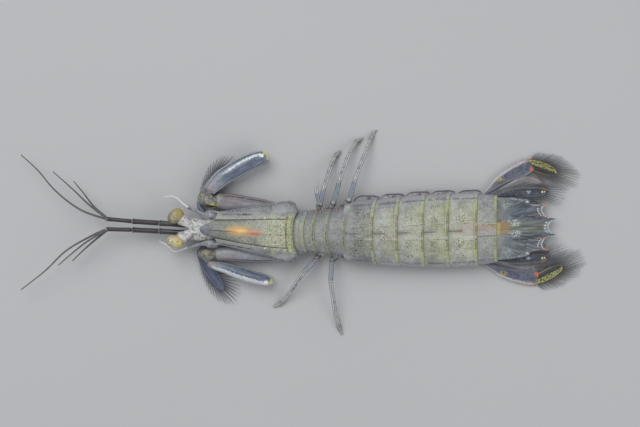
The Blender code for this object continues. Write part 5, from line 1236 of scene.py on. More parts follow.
def prong_finish(settings):
    """The prongs of the tail fan: clear bluish to warm grey with long streaks, pink edges and orange-red tips."""
    f = Finish("uropod_base_skin")
    cloud = f.noise(1.0, 3.0)
    streak = f.noise(0.7, 3.0, f.node("ShaderNodeCombineXYZ", inputs={0: f.along * 3.0, 1: f.across * 2.2, 2: f.up}))
    base = f.mix(f.along.smooth(0.3, 0.7), (0.17, 0.175, 0.215), (0.215, 0.205, 0.20))
    base = f.layers(
        base,
        (cloud.smooth(0.5, 0.66) * 0.5, (0.28, 0.27, 0.26)),
        (streak.smooth(0.52, 0.62) * 0.65, (0.38, 0.375, 0.37)),
        (streak.smooth(0.47, 0.38) * 0.6, (0.075, 0.07, 0.09)),
        (f.side.smooth(0.8, 0.94) * 0.5, (0.40, 0.37, 0.37)),
        (f.along.smooth(0.6, 0.85) * f.side.smooth(0.55, 0.85) * streak.smooth(0.36, 0.5) * 0.8, (0.48, 0.24, 0.21)),
        (f.along.smooth(0.9, 0.98) * 0.7, (0.50, 0.24, 0.21)),
        (f.specks(0.6, 0.25, 0.22) * 0.6, (0.05, 0.04, 0.04)),
    )
    return f.done(base, 0.28 + cloud * 0.22, f.noise(0.3, 3.0), 0.05, coat=0.25)


def bristle_finish(name, root, tip, settings):
    """Bristles: darker at the root, paler and clearer towards the tip, each of its own tone."""
    f = Finish(name)
    tone = f.attribute("tone")
    factor, shade = f.parts(tone)[:2]
    base = f.mix(factor, root, tip)
    base = f.mix(shade * 0.5, base, tuple(c * 0.45 for c in root))
    return f.done(base, 0.35 + shade * 0.1, None, coat=0.1, alpha=1.0 - factor * factor * 0.35)


def bead_finish(name, tint, settings):
    """Beads and small spines: glossy, with a cloudy tint."""
    f = Finish(name)
    place = f.node("ShaderNodeTexCoord", output=3)
    cloud = f.node("ShaderNodeTexNoise", inputs={"Vector": place, "Scale": 1500.0, "Detail": 2.0})
    base = f.mix(cloud.smooth(0.35, 0.65), tint, tuple(c * 0.72 for c in tint))
    return f.done(base, 0.15 + cloud * 0.15, cloud, 0.02, coat=0.5)


def node_chain(tree, kind, settings=None, inputs=None):
    """A Geometry Nodes node, set first and then fed by values or sockets."""
    made = tree.nodes.new(kind)
    for name, value in (settings or {}).items():
        setattr(made, name, value)
    for name, value in (inputs or {}).items():
        if isinstance(value, bpy.types.NodeSocket):
            tree.links.new(value, made.inputs[name])
        else:
            made.inputs[name].default_value = value
    return made


def new_tree(name, sizes):
    """A Geometry Nodes tree with named float inputs, and its input and output nodes."""
    tree = bpy.data.node_groups.new(name, "GeometryNodeTree")
    tree.interface.new_socket("Roots", in_out="INPUT", socket_type="NodeSocketGeometry")
    for label, kind, value in sizes:
        socket = tree.interface.new_socket(label, in_out="INPUT", socket_type=kind)
        socket.default_value = value
    tree.interface.new_socket("Geometry", in_out="OUTPUT", socket_type="NodeSocketGeometry")
    return tree, tree.nodes.new("NodeGroupInput"), tree.nodes.new("NodeGroupOutput")


def closed_tree(tree, geometry, out, finish):
    """Ends a tree in Realize Instances and Set Material."""
    real = node_chain(tree, "GeometryNodeRealizeInstances", inputs={"Geometry": geometry})
    dressed = node_chain(tree, "GeometryNodeSetMaterial", inputs={"Geometry": real.outputs[0], "Material": finish})
    tree.links.new(dressed.outputs[0], out.inputs[0])
    return tree


def bristle_tree(name, finish):
    """Grows one curved, tapering bristle from each root point along its own way."""
    sizes = (
        ("Thickness", "NodeSocketFloat", 0.00004),
        ("Tip", "NodeSocketFloat", 0.25),
        ("Variation", "NodeSocketFloat", 0.15),
        ("Seed", "NodeSocketInt", 1),
    )
    tree, given, out = new_tree(name, sizes)
    points = node_chain(tree, "GeometryNodeMeshToPoints", inputs={"Mesh": given.outputs["Roots"]})
    line = node_chain(tree, "GeometryNodeCurvePrimitiveLine", inputs={"Start": (0, 0, 0), "End": (0, 0, 1)})
    steps = node_chain(tree, "GeometryNodeResampleCurve", inputs={"Curve": line.outputs[0], "Count": 5})
    way = node_chain(tree, "GeometryNodeInputNamedAttribute", {"data_type": "FLOAT_VECTOR"}, {"Name": "way"})
    turn = node_chain(tree, "FunctionNodeAlignRotationToVector", {"axis": "Z"}, {"Vector": way.outputs[0]})
    size = node_chain(tree, "ShaderNodeVectorMath", {"operation": "LENGTH"}, {0: way.outputs[0]})
    low = node_chain(tree, "ShaderNodeMath", {"operation": "SUBTRACT"}, {0: 1.0, 1: given.outputs["Variation"]})
    draw = node_chain(
        tree, "FunctionNodeRandomValue", {"data_type": "FLOAT"},
        {"Min": low.outputs[0], "Max": 1.0, "Seed": given.outputs["Seed"]},
    )
    drawn = next(s for s in draw.outputs if s.type == "VALUE" and s.enabled)
    grown = node_chain(tree, "ShaderNodeMath", {"operation": "MULTIPLY"}, {0: size.outputs["Value"], 1: drawn})
    placed = node_chain(
        tree, "GeometryNodeInstanceOnPoints",
        inputs={
            "Points": points.outputs[0], "Instance": steps.outputs[0],
            "Rotation": turn.outputs[0], "Scale": grown.outputs[0],
        },
    )
    real = node_chain(tree, "GeometryNodeRealizeInstances", inputs={"Geometry": placed.outputs[0]})
    factor = node_chain(tree, "GeometryNodeSplineParameter").outputs["Factor"]
    square = node_chain(tree, "ShaderNodeMath", {"operation": "POWER"}, {0: factor, 1: 2.0})
    droop = node_chain(tree, "GeometryNodeInputNamedAttribute", {"data_type": "FLOAT_VECTOR"}, {"Name": "droop"})
    moved = node_chain(
        tree, "ShaderNodeVectorMath", {"operation": "SCALE"}, {0: droop.outputs[0], "Scale": square.outputs[0]}
    )
    bent = node_chain(
        tree, "GeometryNodeSetPosition", inputs={"Geometry": real.outputs[0], "Offset": moved.outputs[0]}
    )
    thin = node_chain(tree, "ShaderNodeMapRange", inputs={"Value": factor, "To Min": 1.0, "To Max": given.outputs["Tip"]})
    radius = node_chain(
        tree, "ShaderNodeMath", {"operation": "MULTIPLY"}, {0: thin.outputs[0], 1: given.outputs["Thickness"]}
    )
    sized = node_chain(
        tree, "GeometryNodeSetCurveRadius", inputs={"Curve": bent.outputs[0], "Radius": radius.outputs[0]}
    )
    shade = node_chain(tree, "GeometryNodeInputNamedAttribute", {"data_type": "FLOAT"}, {"Name": "shade"})
    both = node_chain(tree, "ShaderNodeCombineXYZ", inputs={0: factor, 1: shade.outputs[0]})
    kept = node_chain(
        tree, "GeometryNodeStoreNamedAttribute", {"data_type": "FLOAT_VECTOR", "domain": "POINT"},
        {"Geometry": sized.outputs[0], "Name": "tone", "Value": both.outputs[0]},
    )
    ring = node_chain(tree, "GeometryNodeCurvePrimitiveCircle", inputs={"Resolution": 3, "Radius": 1.0})
    skin = node_chain(
        tree, "GeometryNodeCurveToMesh",
        inputs={"Curve": kept.outputs[0], "Profile Curve": ring.outputs[0], "Fill Caps": True},
    )
    if "Scale" in skin.inputs:
        reach = node_chain(tree, "GeometryNodeInputRadius")
        tree.links.new(reach.outputs[0], skin.inputs["Scale"])
    return closed_tree(tree, skin.outputs[0], out, finish)


def bead_tree(name, finish):
    """Sets one small rounded bead on each root point, stretched along its own way."""
    tree, given, out = new_tree(name, (("Width", "NodeSocketFloat", 0.0003),))
    points = node_chain(tree, "GeometryNodeMeshToPoints", inputs={"Mesh": given.outputs["Roots"]})
    ball = node_chain(
        tree, "GeometryNodeMeshUVSphere", inputs={"Segments": 8, "Rings": 6, "Radius": 0.5}
    )
    way = node_chain(tree, "GeometryNodeInputNamedAttribute", {"data_type": "FLOAT_VECTOR"}, {"Name": "way"})
    turn = node_chain(tree, "FunctionNodeAlignRotationToVector", {"axis": "Z"}, {"Vector": way.outputs[0]})
    size = node_chain(tree, "ShaderNodeVectorMath", {"operation": "LENGTH"}, {0: way.outputs[0]})
    width = given.outputs["Width"]
    scale = node_chain(tree, "ShaderNodeCombineXYZ", inputs={0: width, 1: width, 2: size.outputs["Value"]})
    placed = node_chain(
        tree, "GeometryNodeInstanceOnPoints",
        inputs={
            "Points": points.outputs[0], "Instance": ball.outputs[0],
            "Rotation": turn.outputs[0], "Scale": scale.outputs[0],
        },
    )
    return closed_tree(tree, placed.outputs[0], out, finish)


def grown(name, roots, ways, tree, sizes, slot, droops=None, shades=None, shares=None, nodes=()):
    """Bakes a tree on root points, given in straight millimetres, to a plain mesh on the animal."""
    mesh = bpy.data.meshes.new(name + "_roots")
    start = laid(roots)
    way = laid(roots + ways) - start
    mesh.from_pydata(start.tolist(), [], [])
    count = len(roots)
    droops = np.zeros((count, 3)) if droops is None else droops * MM
    shades = np.zeros(count) if shades is None else shades
    for label, kind, key, values in (
        ("way", "FLOAT_VECTOR", "vector", way), ("droop", "FLOAT_VECTOR", "vector", droops),
        ("shade", "FLOAT", "value", shades),
    ):
        layer = mesh.attributes.new(label, kind, "POINT")
        layer.data.foreach_set(key, np.asarray(values, np.float32).ravel())
    made = bpy.data.objects.new(name, mesh)
    bpy.context.scene.collection.objects.link(made)
    modifier = made.modifiers.new("Grow", "NODES")
    modifier.node_group = tree
    for item in tree.interface.items_tree:
        if item.item_type == "SOCKET" and item.in_out == "INPUT" and item.name in sizes:
            modifier[item.identifier] = sizes[item.name]
    graph = bpy.context.evaluated_depsgraph_get()
    baked = bpy.data.meshes.new_from_object(made.evaluated_get(graph))
    made.modifiers.remove(modifier)
    made.data = baked
    baked.name = name
    bpy.data.meshes.remove(mesh)
    if not len(baked.polygons):
        raise RuntimeError(name + " grew nothing")
    baked.shade_smooth()
    if shares is not None:
        bake_map(baked, shares)
    return settled(made, nodes)


def bake_map(mesh, shares):
    """A UV map in which each bristle is a small patch at its root's place along the margin."""
    each = len(mesh.vertices) // len(shares)
    corner = np.empty(len(mesh.loops), int)
    mesh.loops.foreach_get("vertex_index", corner)
    which, inside = corner // each, corner % each
    patch = 0.003 * np.column_stack([(inside % 3) / 2, (inside // 3) / (each / 3)])
    layer = mesh.uv_layers.new(name="OFBake")
    layer.data.foreach_set("uv", (shares[which] * 0.99 + patch).astype(np.float32).ravel())


def bristle_sizes(settings, thick=1.0):
    """The bristle tree's inputs from the settings."""
    return {
        "Thickness": settings.thickness * thick, "Tip": settings.tip,
        "Variation": settings.variation, "Seed": settings.seed,
    }


def fringe_roots(blade, reach, count, first, last, layers, seed, clumps, sink=0.25, droop=0.5):
    """Roots, ways, droops, shades and shares of a fringe from a blade's margin out to a wider shape.

    The bristles lean together in clumps, each of its own length.
    """
    draw = np.random.default_rng(seed)
    lengths = draw.uniform(0.86, 1.0, clumps + 1)
    rows = []
    for layer in range(layers):
        shares = np.linspace(first, last, count) + draw.uniform(-0.4, 0.4, count) * (last - first) / count
        shares = np.clip(shares, 0, 1)
        clump = np.minimum((shares * clumps).astype(int), clumps - 1)
        roots, tips = spaced(outline(blade), shares), spaced(outline(reach), shares)
        together = spaced(outline(reach), (clump + 0.5) / clumps)
        ways = tips - roots
        ways /= np.linalg.norm(ways, axis=1)[:, None]
        tips = tips * 0.28 + together * 0.72
        tips = roots + (tips - roots) * (lengths[clump] - 0.1 * layer / layers)[:, None]
        roots = roots - ways * sink
        roots[:, 2] += (layer - (layers - 1) / 2) * 0.07
        tips[:, 2] += draw.uniform(-0.12, 0.3, count) + layer * 0.12
        bend = np.cross(ways, (0, 0, 1)) * draw.normal(0, 0.1, count)[:, None]
        bend[:, 2] -= draw.uniform(0, 0.2, count) * droop
        where = np.column_stack([shares, np.full(count, (layer + 0.5) / layers)])
        rows.append((roots, tips - roots, bend, draw.uniform(0, 1, count), where))
    return [np.concatenate(part) for part in zip(*rows)]


def arch(share, half_width, top, edge):
    """Height of a plate at a share of its half width."""
    return edge + (top - edge) * (1 - np.minimum(np.abs(share), 1.0) ** 2.5) ** 0.48


def bump_at(value, centre, width):
    """A smooth bump of height 1."""
    return np.exp(-(((value - centre) / width) ** 2))


def carapace_form(settings):
    """The shield: a thin arched shell with a median ridge, two grooves and a rolled margin."""
    across = np.sin(np.linspace(-math.pi / 2, math.pi / 2, 91)) * 0.55 + np.linspace(-1, 1, 91) * 0.45
    along = np.concatenate([np.linspace(0, 0.86, 44), np.linspace(0.875, 1.0, 16)])
    share, wide = np.meshgrid(along, across, indexing="ij")
    half, crown, edge = (np.interp(share, CARAPACE_STATIONS[:, 0], CARAPACE_STATIONS[:, k]) for k in (1, 2, 3))
    bulge = np.clip((0.56 - np.abs(wide)) / 0.18, 0, 1)
    bulge = bulge * bulge * (3 - 2 * bulge)
    front = CARAPACE_FRONT + FRONT_CORNER_BACK * wide**2 - 1.25 * bulge
    rear = CARAPACE_REAR - 0.1 + REAR_LOBE_BACK * np.abs(wide) ** 3
    x = front + share * (rear - front)
    y = wide * half
    groove = np.abs(y) - np.interp(x, GROOVE_LINE[:, 0], GROOVE_LINE[:, 1])
    ridge, cut, rim = (settings.ridge / MM, settings.groove / MM, settings.rim / MM)
    rise = ridge * bump_at(y, 0, 0.35) * (0.5 + 0.5 * bump_at(share, 0.5, 0.4)) - cut * bump_at(groove, 0, 0.28)
    rise += ridge * 0.6 * bump_at(np.abs(wide), 0.86, 0.03) + rim * bump_at(np.abs(wide), 0.985, 0.02)
    rise += rim * bump_at(share, 0.985, 0.012) - 0.06 * bump_at(share, 0.923, 0.01)
    rise += 0.24 * bulge * bump_at(share, 0.0, 0.09)
    top = leaned(np.stack([x, y, arch(wide, half, crown, edge) + rise], axis=-1))
    inner = np.stack([x, wide * (half - 0.5), arch(wide, half, crown - 0.9, edge - 0.35)], axis=-1)
    shield = slab(top, leaned(inner), np.stack([share, wide, groove], axis=-1))
    spines = []
    for _, side in SIDES:
        root, tip = leaned([(-22.9, side * 4.25, 6.35), (-25.2, side * 4.85, 6.25)])
        spines.append(cone(root, tip, 0.42, bend=(0, 0, 0.2)))
    return joined([shield, *spines])


def somite_starts():
    """The x of each free somite's front at the midline, and of the last one's rear."""
    return CARAPACE_REAR + np.concatenate([[0.0], np.cumsum([row[1] for row in SOMITES])])


def somite_form(index, settings):
    """A free somite: its front tucks under the plate before it, and its rear rim is rolled."""
    _, span, rear_half, top, edge, sternum, bow = SOMITES[index]
    before = SOMITES[max(index - 1, 0)]
    start = somite_starts()[index]
    abdomen = index >= FIRST_ABDOMINAL
    front_half = ABDOMEN_FRONT if index == FIRST_ABDOMINAL else before[2]
    ridges = ABDOMEN_RIDGES if abdomen else THORAX_RIDGES
    across = np.linspace(-1, 1, 121)
    across = 0.6 * across + 0.4 * np.sin(across * math.pi / 2)
    tuck = -0.9 / span
    alongs = [tuck, 0.0, 0.5 / span, 1.0 / span, *np.linspace(1.8 / span, 1 - 1.3 / span, 10)]
    alongs += [1 - 1.1 / span, 1 - 0.95 / span, 1 - 0.7 / span, 1 - 0.4 / span, 1 - 0.15 / span, 1.0, 1 + 0.1 / span]
    shape = {tuck: (0.93, 0.62), 0.0: (0.95, 0.5), 0.5 / span: (0.965, 0.3), 1.0 / span: (0.985, 0.1)}
    shape[1 + 0.1 / span] = (0.985, 0.22)
    rings, places = [], []
    for along in alongs:
        shrink, drop = shape.get(along, (1.0, 0.0))
        t = min(max(along, 0.0), 1.0)
        half = (front_half + (rear_half - front_half) * t**0.7) * shrink
        crown = before[3] * (1 - t) + top * t - drop
        low = before[4] * (1 - t) + edge * t + drop * 0.4
        curve = before[6] * (1 - t) + bow * t

        def x_at(wide):
            share = np.minimum(np.abs(wide) * shrink, 1.0)
            place = start + along * span
            curved = curve * share**2 + (PLEURON_CORNER * share**6 if abdomen else 0.0)
            if index == 0:
                lobe = REAR_LOBE_BACK * (share * half / shrink / REAR_LOBE_HALF_WIDTH) ** 3
                return place + curved * t + lobe * (1 - t)
            return place + curved

        fade = min(max((along * span - 0.8) / 1.2, 0.0), 1.0)
        rise = sum(bump_at(np.abs(across), ridge, 0.022) for ridge in ridges) * settings.ridge / MM * fade
        rise = rise + settings.rim / MM * bump_at(along * span, span - 0.3, 0.35) * (shrink == 1.0)
        upper = np.stack([x_at(across), across * half, arch(across, half, crown, low) + rise], axis=-1)
        belly = sternum - low
        under = [(1.0, -0.2, -0.35), (1.0, -0.9, -0.1), (1.0, -1.7, belly - 0.5)] if abdomen else [
            (1.0, -0.3, -0.5), (1.0, -1.3, belly + 0.3)]
        under += [(0.5, 0.0, belly), (0.2, 0.0, belly + 0.1)]
        lower = []
        for side in (1, -1):
            row = [(scale * half + inset, low + lift) for scale, inset, lift in under]
            part = [(float(x_at(np.array(y / half))), side * y, z) for y, z in row]
            lower += part if side == 1 else part[::-1]
        rings.append(leaned(np.vstack([upper, np.array(lower)])))
        tops = np.stack([np.full(len(across), along), across, np.ones(len(across))], axis=-1)
        lows = [(along, point[1] / half, 0.0) for point in lower]
        places.append(np.vstack([tops, np.array(lows)]))
    return loft(rings, places)


def somite_spines(index):
    """The small side flaps of the thorax and the rear spines of the last abdominal somite."""
    _, span, half, _, edge, _, bow = SOMITES[index]
    start = somite_starts()[index]
    made = []
    for _, side in SIDES:
        if index < FIRST_ABDOMINAL:
            x = start + bow + 0.3 * span
            for shift, reach, size in ((0.0, 0.55, 0.45), (0.9, 0.45, 0.3), (-0.7, 0.2, 0.28), (1.7, 0.2, 0.26)):
                if shift > span - 1.2:
                    continue
                root = (x + shift + 0.2, side * (half - 0.9), edge + 1.3)
                tip = (x + shift - 0.3, side * (half + reach), edge + 1.15)
                made.append(cone(*leaned([root, tip]), size, sides=7, bend=(0.5, 0, 0.3)))
        elif index == len(SOMITES) - 1:
            for across, height in ((0.25, 5.1), (0.55, 4.7), (0.85, 3.2)):
                y = side * across * half
                x = start + span
                made.append(cone((x - 1.6, y, edge + height - 0.15), (x + 0.85, y, edge + height), 0.34, bend=(0, 0, 0.3)))
    return made


def telson_form(settings):
    """The tail plate: a thin shield drawn out behind into paired teeth, with ridges that run to them."""
    half_row = np.unique(np.concatenate([np.linspace(0, 1, 61), TELSON_REAR[:, 0]]))
    across = np.concatenate([-half_row[:0:-1], half_row])
    along = np.unique(np.concatenate([np.linspace(0, 1, 56), TELSON_WIDTHS[:, 0]]))
    t, share = np.meshgrid(along, across, indexing="ij")
    bow, ratio = SOMITES[-1][6], TELSON_HALF_WIDTH / SOMITES[-1][2]
    crown, rim, floor = (a + (b - a) * t for a, b in (TELSON_TOP, TELSON_EDGE_TOP, TELSON_UNDER))
    hollow = bow * (share * ratio) ** 2 + PLEURON_CORNER * (share * ratio) ** 6
    reach = np.interp(np.abs(share), TELSON_REAR[:, 0], TELSON_REAR[:, 1])
    x = TELSON_BASE + 0.05 + t * (reach + 0.1) + (1 - t) * hollow
    y = share * TELSON_HALF_WIDTH * np.interp(t, TELSON_WIDTHS[:, 0], TELSON_WIDTHS[:, 1])
    wide = np.abs(share)
    ridge = settings.ridge / MM
    rise = 0.45 * (1 - t) * bump_at(share, 0, 0.035) + ridge * bump_at(wide, 0.345, 0.03) * bump_at(t, 1.0, 0.25)
    rise += ridge * bump_at(wide, 0.97, 0.03) + 0.6 * ridge * bump_at(wide, 0.62, 0.02) * bump_at(t, 0.9, 0.2)
    rise += 0.5 * ridge * bump_at(wide, 0.18 + 0.1 * t, 0.02) * (1 - t) - 0.05 * bump_at((wide * 26) % 1.0, 0.5, 0.2) * t
    sink = 0.12 * bump_at(t, 1.0, 0.04)
    top = np.stack([x, y, rim + (crown - rim) * (1 - share**2) + rise - sink], axis=-1)
    shield = slab(leaned(top), leaned(np.stack([x, y, floor], axis=-1)), np.stack([t, share, t * 0 + 1], axis=-1))
    spines = [cone((62.0, s * 7.6, 3.9), (64.6, s * 7.65, 3.3), 0.4, bend=(0, 0.2 * s, 0.3)) for _, s in SIDES]
    return joined([shield, *spines])


def telson_margin(shares, back=0.1):
    """Points on the telson, a way in front of its rear edge, at signed shares of its half width."""
    shares = np.array(shares, float)
    reach = np.interp(np.abs(shares), TELSON_REAR[:, 0], TELSON_REAR[:, 1])
    t = 1 - back / reach
    crown, rim = (a + (b - a) * t for a, b in (TELSON_TOP, TELSON_EDGE_TOP))
    width = np.interp(t, TELSON_WIDTHS[:, 0], TELSON_WIDTHS[:, 1])
    return np.column_stack([
        TELSON_BASE + 0.15 + reach - back, shares * TELSON_HALF_WIDTH * width, rim + (crown - rim) * (1 - shares**2)
    ])


def eye_form(name):
    """The two-lobed eye, set slantwise on its stalk."""
    rings, places = [], []
    a, b, c = CORNEA_HALF
    turn = Matrix.Rotation(math.radians(CORNEA_TURN[name]), 3, "Z")
    angles = np.linspace(0, math.tau, 40, endpoint=False)
    for t in np.linspace(0.03, math.pi - 0.03, 34):
        u = -math.cos(t)
        girth = math.sin(t) ** 0.85 * (1 - CORNEA_WAIST * math.exp(-((u / 0.16) ** 2)))
        ring = [(a * u, b * girth * math.cos(p), c * girth * math.sin(p)) for p in angles]
        rings.append([np.array(turn @ Vector(p)) + CORNEA_CENTRE[name] for p in ring])
        places.append([(u, girth * math.cos(p), girth * math.sin(p)) for p in angles])
    return loft(rings, places)


def antennule_rows(side):
    """Rows of the antennule's three long segments, end to end."""
    rows = []
    for a, b, radius in zip(ANTENNULE_JOINTS, ANTENNULE_JOINTS[1:], ANTENNULE_RADII):
        for share, scale in ((0.02, 0.72), (0.07, 0.98), (0.5, 0.94), (0.88, 1.0), (0.965, 1.12)):
            x, y, z = np.array(a) * (1 - share) + np.array(b) * share
            rows.append((x, side * y, z, radius * scale, radius * scale))
    return rows


def antenna_rows(name, side):
    """Rows of the second antenna's round base and stem."""
    base_y, size, stem_y = ANTENNA_BASE[name]
    return [
        (-24.2, side * (base_y + 0.1), 4.6, 0.8 * size, 1.05),
        (-25.1, side * base_y, 4.75, 1.0 * size, 1.25),
        (-26.2, side * base_y, 4.7, 1.04 * size, 1.25),
        (-27.1, side * base_y, 4.5, 0.75 * size, 0.95),
        (-27.9, side * (base_y + stem_y) / 2, 4.4, 0.6, 0.6),
        (-28.9, side * stem_y, 4.3, 0.55, 0.5),
        (-30.3, side * (stem_y + 0.5), 4.3, 0.45, 0.45),
        (*ANTENNA_WHIP[name][0], 0.42, 0.42),
    ]


def leg_rows(name, number):
    """Rows of a leg: knob, then three segments that narrow at each joint."""
    joints = np.array(LEGS[(name, number)])
    knob = LEG_KNOB[name]
    bulge = joints[0] * 0.4 + joints[1] * 0.6
    rows = [(*joints[0], 0.55, 0.55), (*bulge, knob, knob), (*joints[1], 0.55, 0.55)]
    for k, radius in zip((1, 2, 3), LEG_RADII):
        a, b = joints[k], joints[k + 1]
        for share, scale in ((0.1, 0.95), (0.45, 0.92 if k == 1 else 0.85), (0.85, 0.95), (0.97, 0.78)):
            rows.append((*(a + (b - a) * share), radius * scale, radius * scale))
    rows += [(*(joints[4] * 0.6 + joints[5] * 0.4), 0.36, 0.36), (*joints[5], 0.13, 0.16)]
    return rows


def swimmeret_rows(index, name, side, table):
    """Rows of one leaf of a swimmeret."""
    starts = somite_starts()
    x = (starts[index] + starts[index + 1]) / 2 - 0.6
    rim = SOMITES[index][2] + SWIMMERET_RIM[name] if table is SWIMMERET_OUTER else 0.0
    places = leaned([(x + along, side * (rim + y), z) for along, y, z, _, _ in table])
    return [(*place, *row[3:]) for place, row in zip(places, table)]


def splayed(name, side, rows):
    """Rows given along and across a uropod, turned out from its root."""
    turn = math.radians(UROPOD_SPLAY[name])
    made = []
    for along, across, *rest in rows:
        x = UROPOD_ROOT[0] + along * math.cos(turn) - across * math.sin(turn)
        y = UROPOD_ROOT[1] + along * math.sin(turn) + across * math.cos(turn)
        made.append((x, side * y, *rest))
    return made


def paddle_rows(name, side, rows):
    """Rows of the outer branch's turned paddle, or of the reach of its bristles."""
    turn = math.radians(PADDLE_TURN[name])
    made = []
    for along, across, *rest in rows:
        x = PADDLE_ROOT[0] + along * math.cos(turn) - across * math.sin(turn)
        y = PADDLE_ROOT[1] + along * math.sin(turn) + across * math.cos(turn)
        made.append((x, y, *rest))
    return splayed(name, side, made)


def tuft(path, count, reach, first, seed, spread=0.9, size=0.7):
    """Roots and ways of a brush of bristles along a limb's path, leaning towards its tip."""
    draw = np.random.default_rng(seed)
    rows = smooth_rows(path, 6)
    tangents, across, rise = frames(rows)
    shares = draw.uniform(first, 1.0, count)
    spots = np.rint(shares * (len(rows) - 1)).astype(int)
    angles = draw.uniform(0, math.tau, count)
    out = across[spots] * np.cos(angles)[:, None] + rise[spots] * np.sin(angles)[:, None] * 0.6
    ways = (out * spread + tangents[spots]) * (reach * draw.uniform(0.6, 1.0, count))[:, None]
    roots = rows[spots, :3] + out * rows[spots, 3:4] * size
    low = np.minimum(roots[:, 2] + ways[:, 2] - 0.05, 0.0)
    ways[:, 2] -= low
    return roots, ways, np.zeros((count, 3)), draw.uniform(0, 1, count), np.column_stack([shares, angles / math.tau])


class BuildShells(bpy.types.Operator):
    """Builds the carapace, the rostral plate, the free somites' plates and the telson"""

    bl_idname = "shrimp.shells"
    bl_label = "Shell plates"

    def execute(self, context):
        shell = context.scene.shrimp_shell
        finish = carapace_finish(shell)
        piece("carapace_shell", carapace_form(shell), finish, ["carapace"])
        rostral = flesh_finish("rostral_shell", (0.19, 0.20, 0.225), (0.13, 0.145, 0.155), shell, (0.15, 0.155, 0.24))
        piece("rostral_shell", limb(ROSTRAL_PLATE, sides=28), rostral, ["rostral_plate"])
        for index, row in enumerate(SOMITES):
            form = joined([somite_form(index, shell), *somite_spines(index)])
            nodes = [row[0]] if index else ["cephalothorax"]
            piece(row[0] + "_shell", form, tergite_finish(index, shell), nodes)
        piece("telson_shell", telson_form(shell), telson_finish(shell), ["telson"])
        beads = bead_tree("telson_bead_tree", bead_finish("telson_beads", (0.78, 0.79, 0.78), shell))
        rows = (
            (np.linspace(0.41, 0.86, 9), 0.22, 0.44), (np.linspace(0.5, 0.8, 5), 1.3, 0.5),
            (np.linspace(0.05, 0.27, 4), 0.22, 0.4), (np.array((0.06, 0.19)), 1.15, 0.65),
        )
        roots = np.vstack([telson_margin(sign * shares, back) for shares, back, _ in rows for sign in (1, -1)])
        sizes = np.concatenate([np.full(2 * len(shares), size) for shares, _, size in rows])
        ways = np.outer(sizes, (1.0, 0.0, -0.08))
        grown("telson_beads", roots, ways, beads, {"Width": 0.38 * MM}, "shell")
        return {"FINISHED"}


class BuildFlesh(bpy.types.Operator):
    """Builds the skin of the head and the trunk, the mouth, the eye stalks and the eyes"""

    bl_idname = "shrimp.flesh"
    bl_label = "Flesh and eyes"

    def execute(self, context):
        shell, limbs = context.scene.shrimp_shell, context.scene.shrimp_limbs
        skin = flesh_finish("flesh", (0.58, 0.60, 0.59), (0.21, 0.225, 0.17), shell, (0.44, 0.40, 0.40))
        forms = [limb(TRUNK, sides=36, steps=8)]
        forms.append(limb([(-21.5, 0.3, 3.2, 1.3, 0.9), (-19.5, 0.3, 2.6, 1.9, 1.2), (-17.0, 0.3, 2.9, 1.5, 1.0)]))
        for _, side in SIDES:
            jaw = [(-16.8, 1.6, 3.2, 1.0, 0.9), (-15.2, 1.5, 2.9, 1.2, 0.9), (-13.2, 1.5, 3.1, 0.9, 0.9)]
            forms.append(limb([(x, side * y, *rest) for x, y, *rest in jaw]))
            forms.append(cone((-29.8, side * 1.3, 6.0), (-31.1, side * 3.1, 6.3), 0.5))
            forms.append(limb([(-29.2, side * 0.9, 6.3, 0.8, 0.7), (-30.6, side * 0.95, 6.35, 0.75, 0.65)], sides=14))
        piece("trunk_skin", joined(forms), skin, ["cephalothorax", "head"])
        stalk = flesh_finish("stalk_skin", (0.66, 0.65, 0.66), (0.38, 0.34, 0.34), shell, (0.52, 0.44, 0.44))
        for name, side in SIDES:
            rows = [(x, side * y, *rest) for x, y, *rest in EYE_STALK]
            piece(f"eye_stalk_{name}_skin", limb(rows, sides=20), stalk, ["eye_stalk_" + name])
            piece(f"eye_{name}_cornea", eye_form(name), eye_finish(limbs, name), ["eye_" + name])
        return {"FINISHED"}


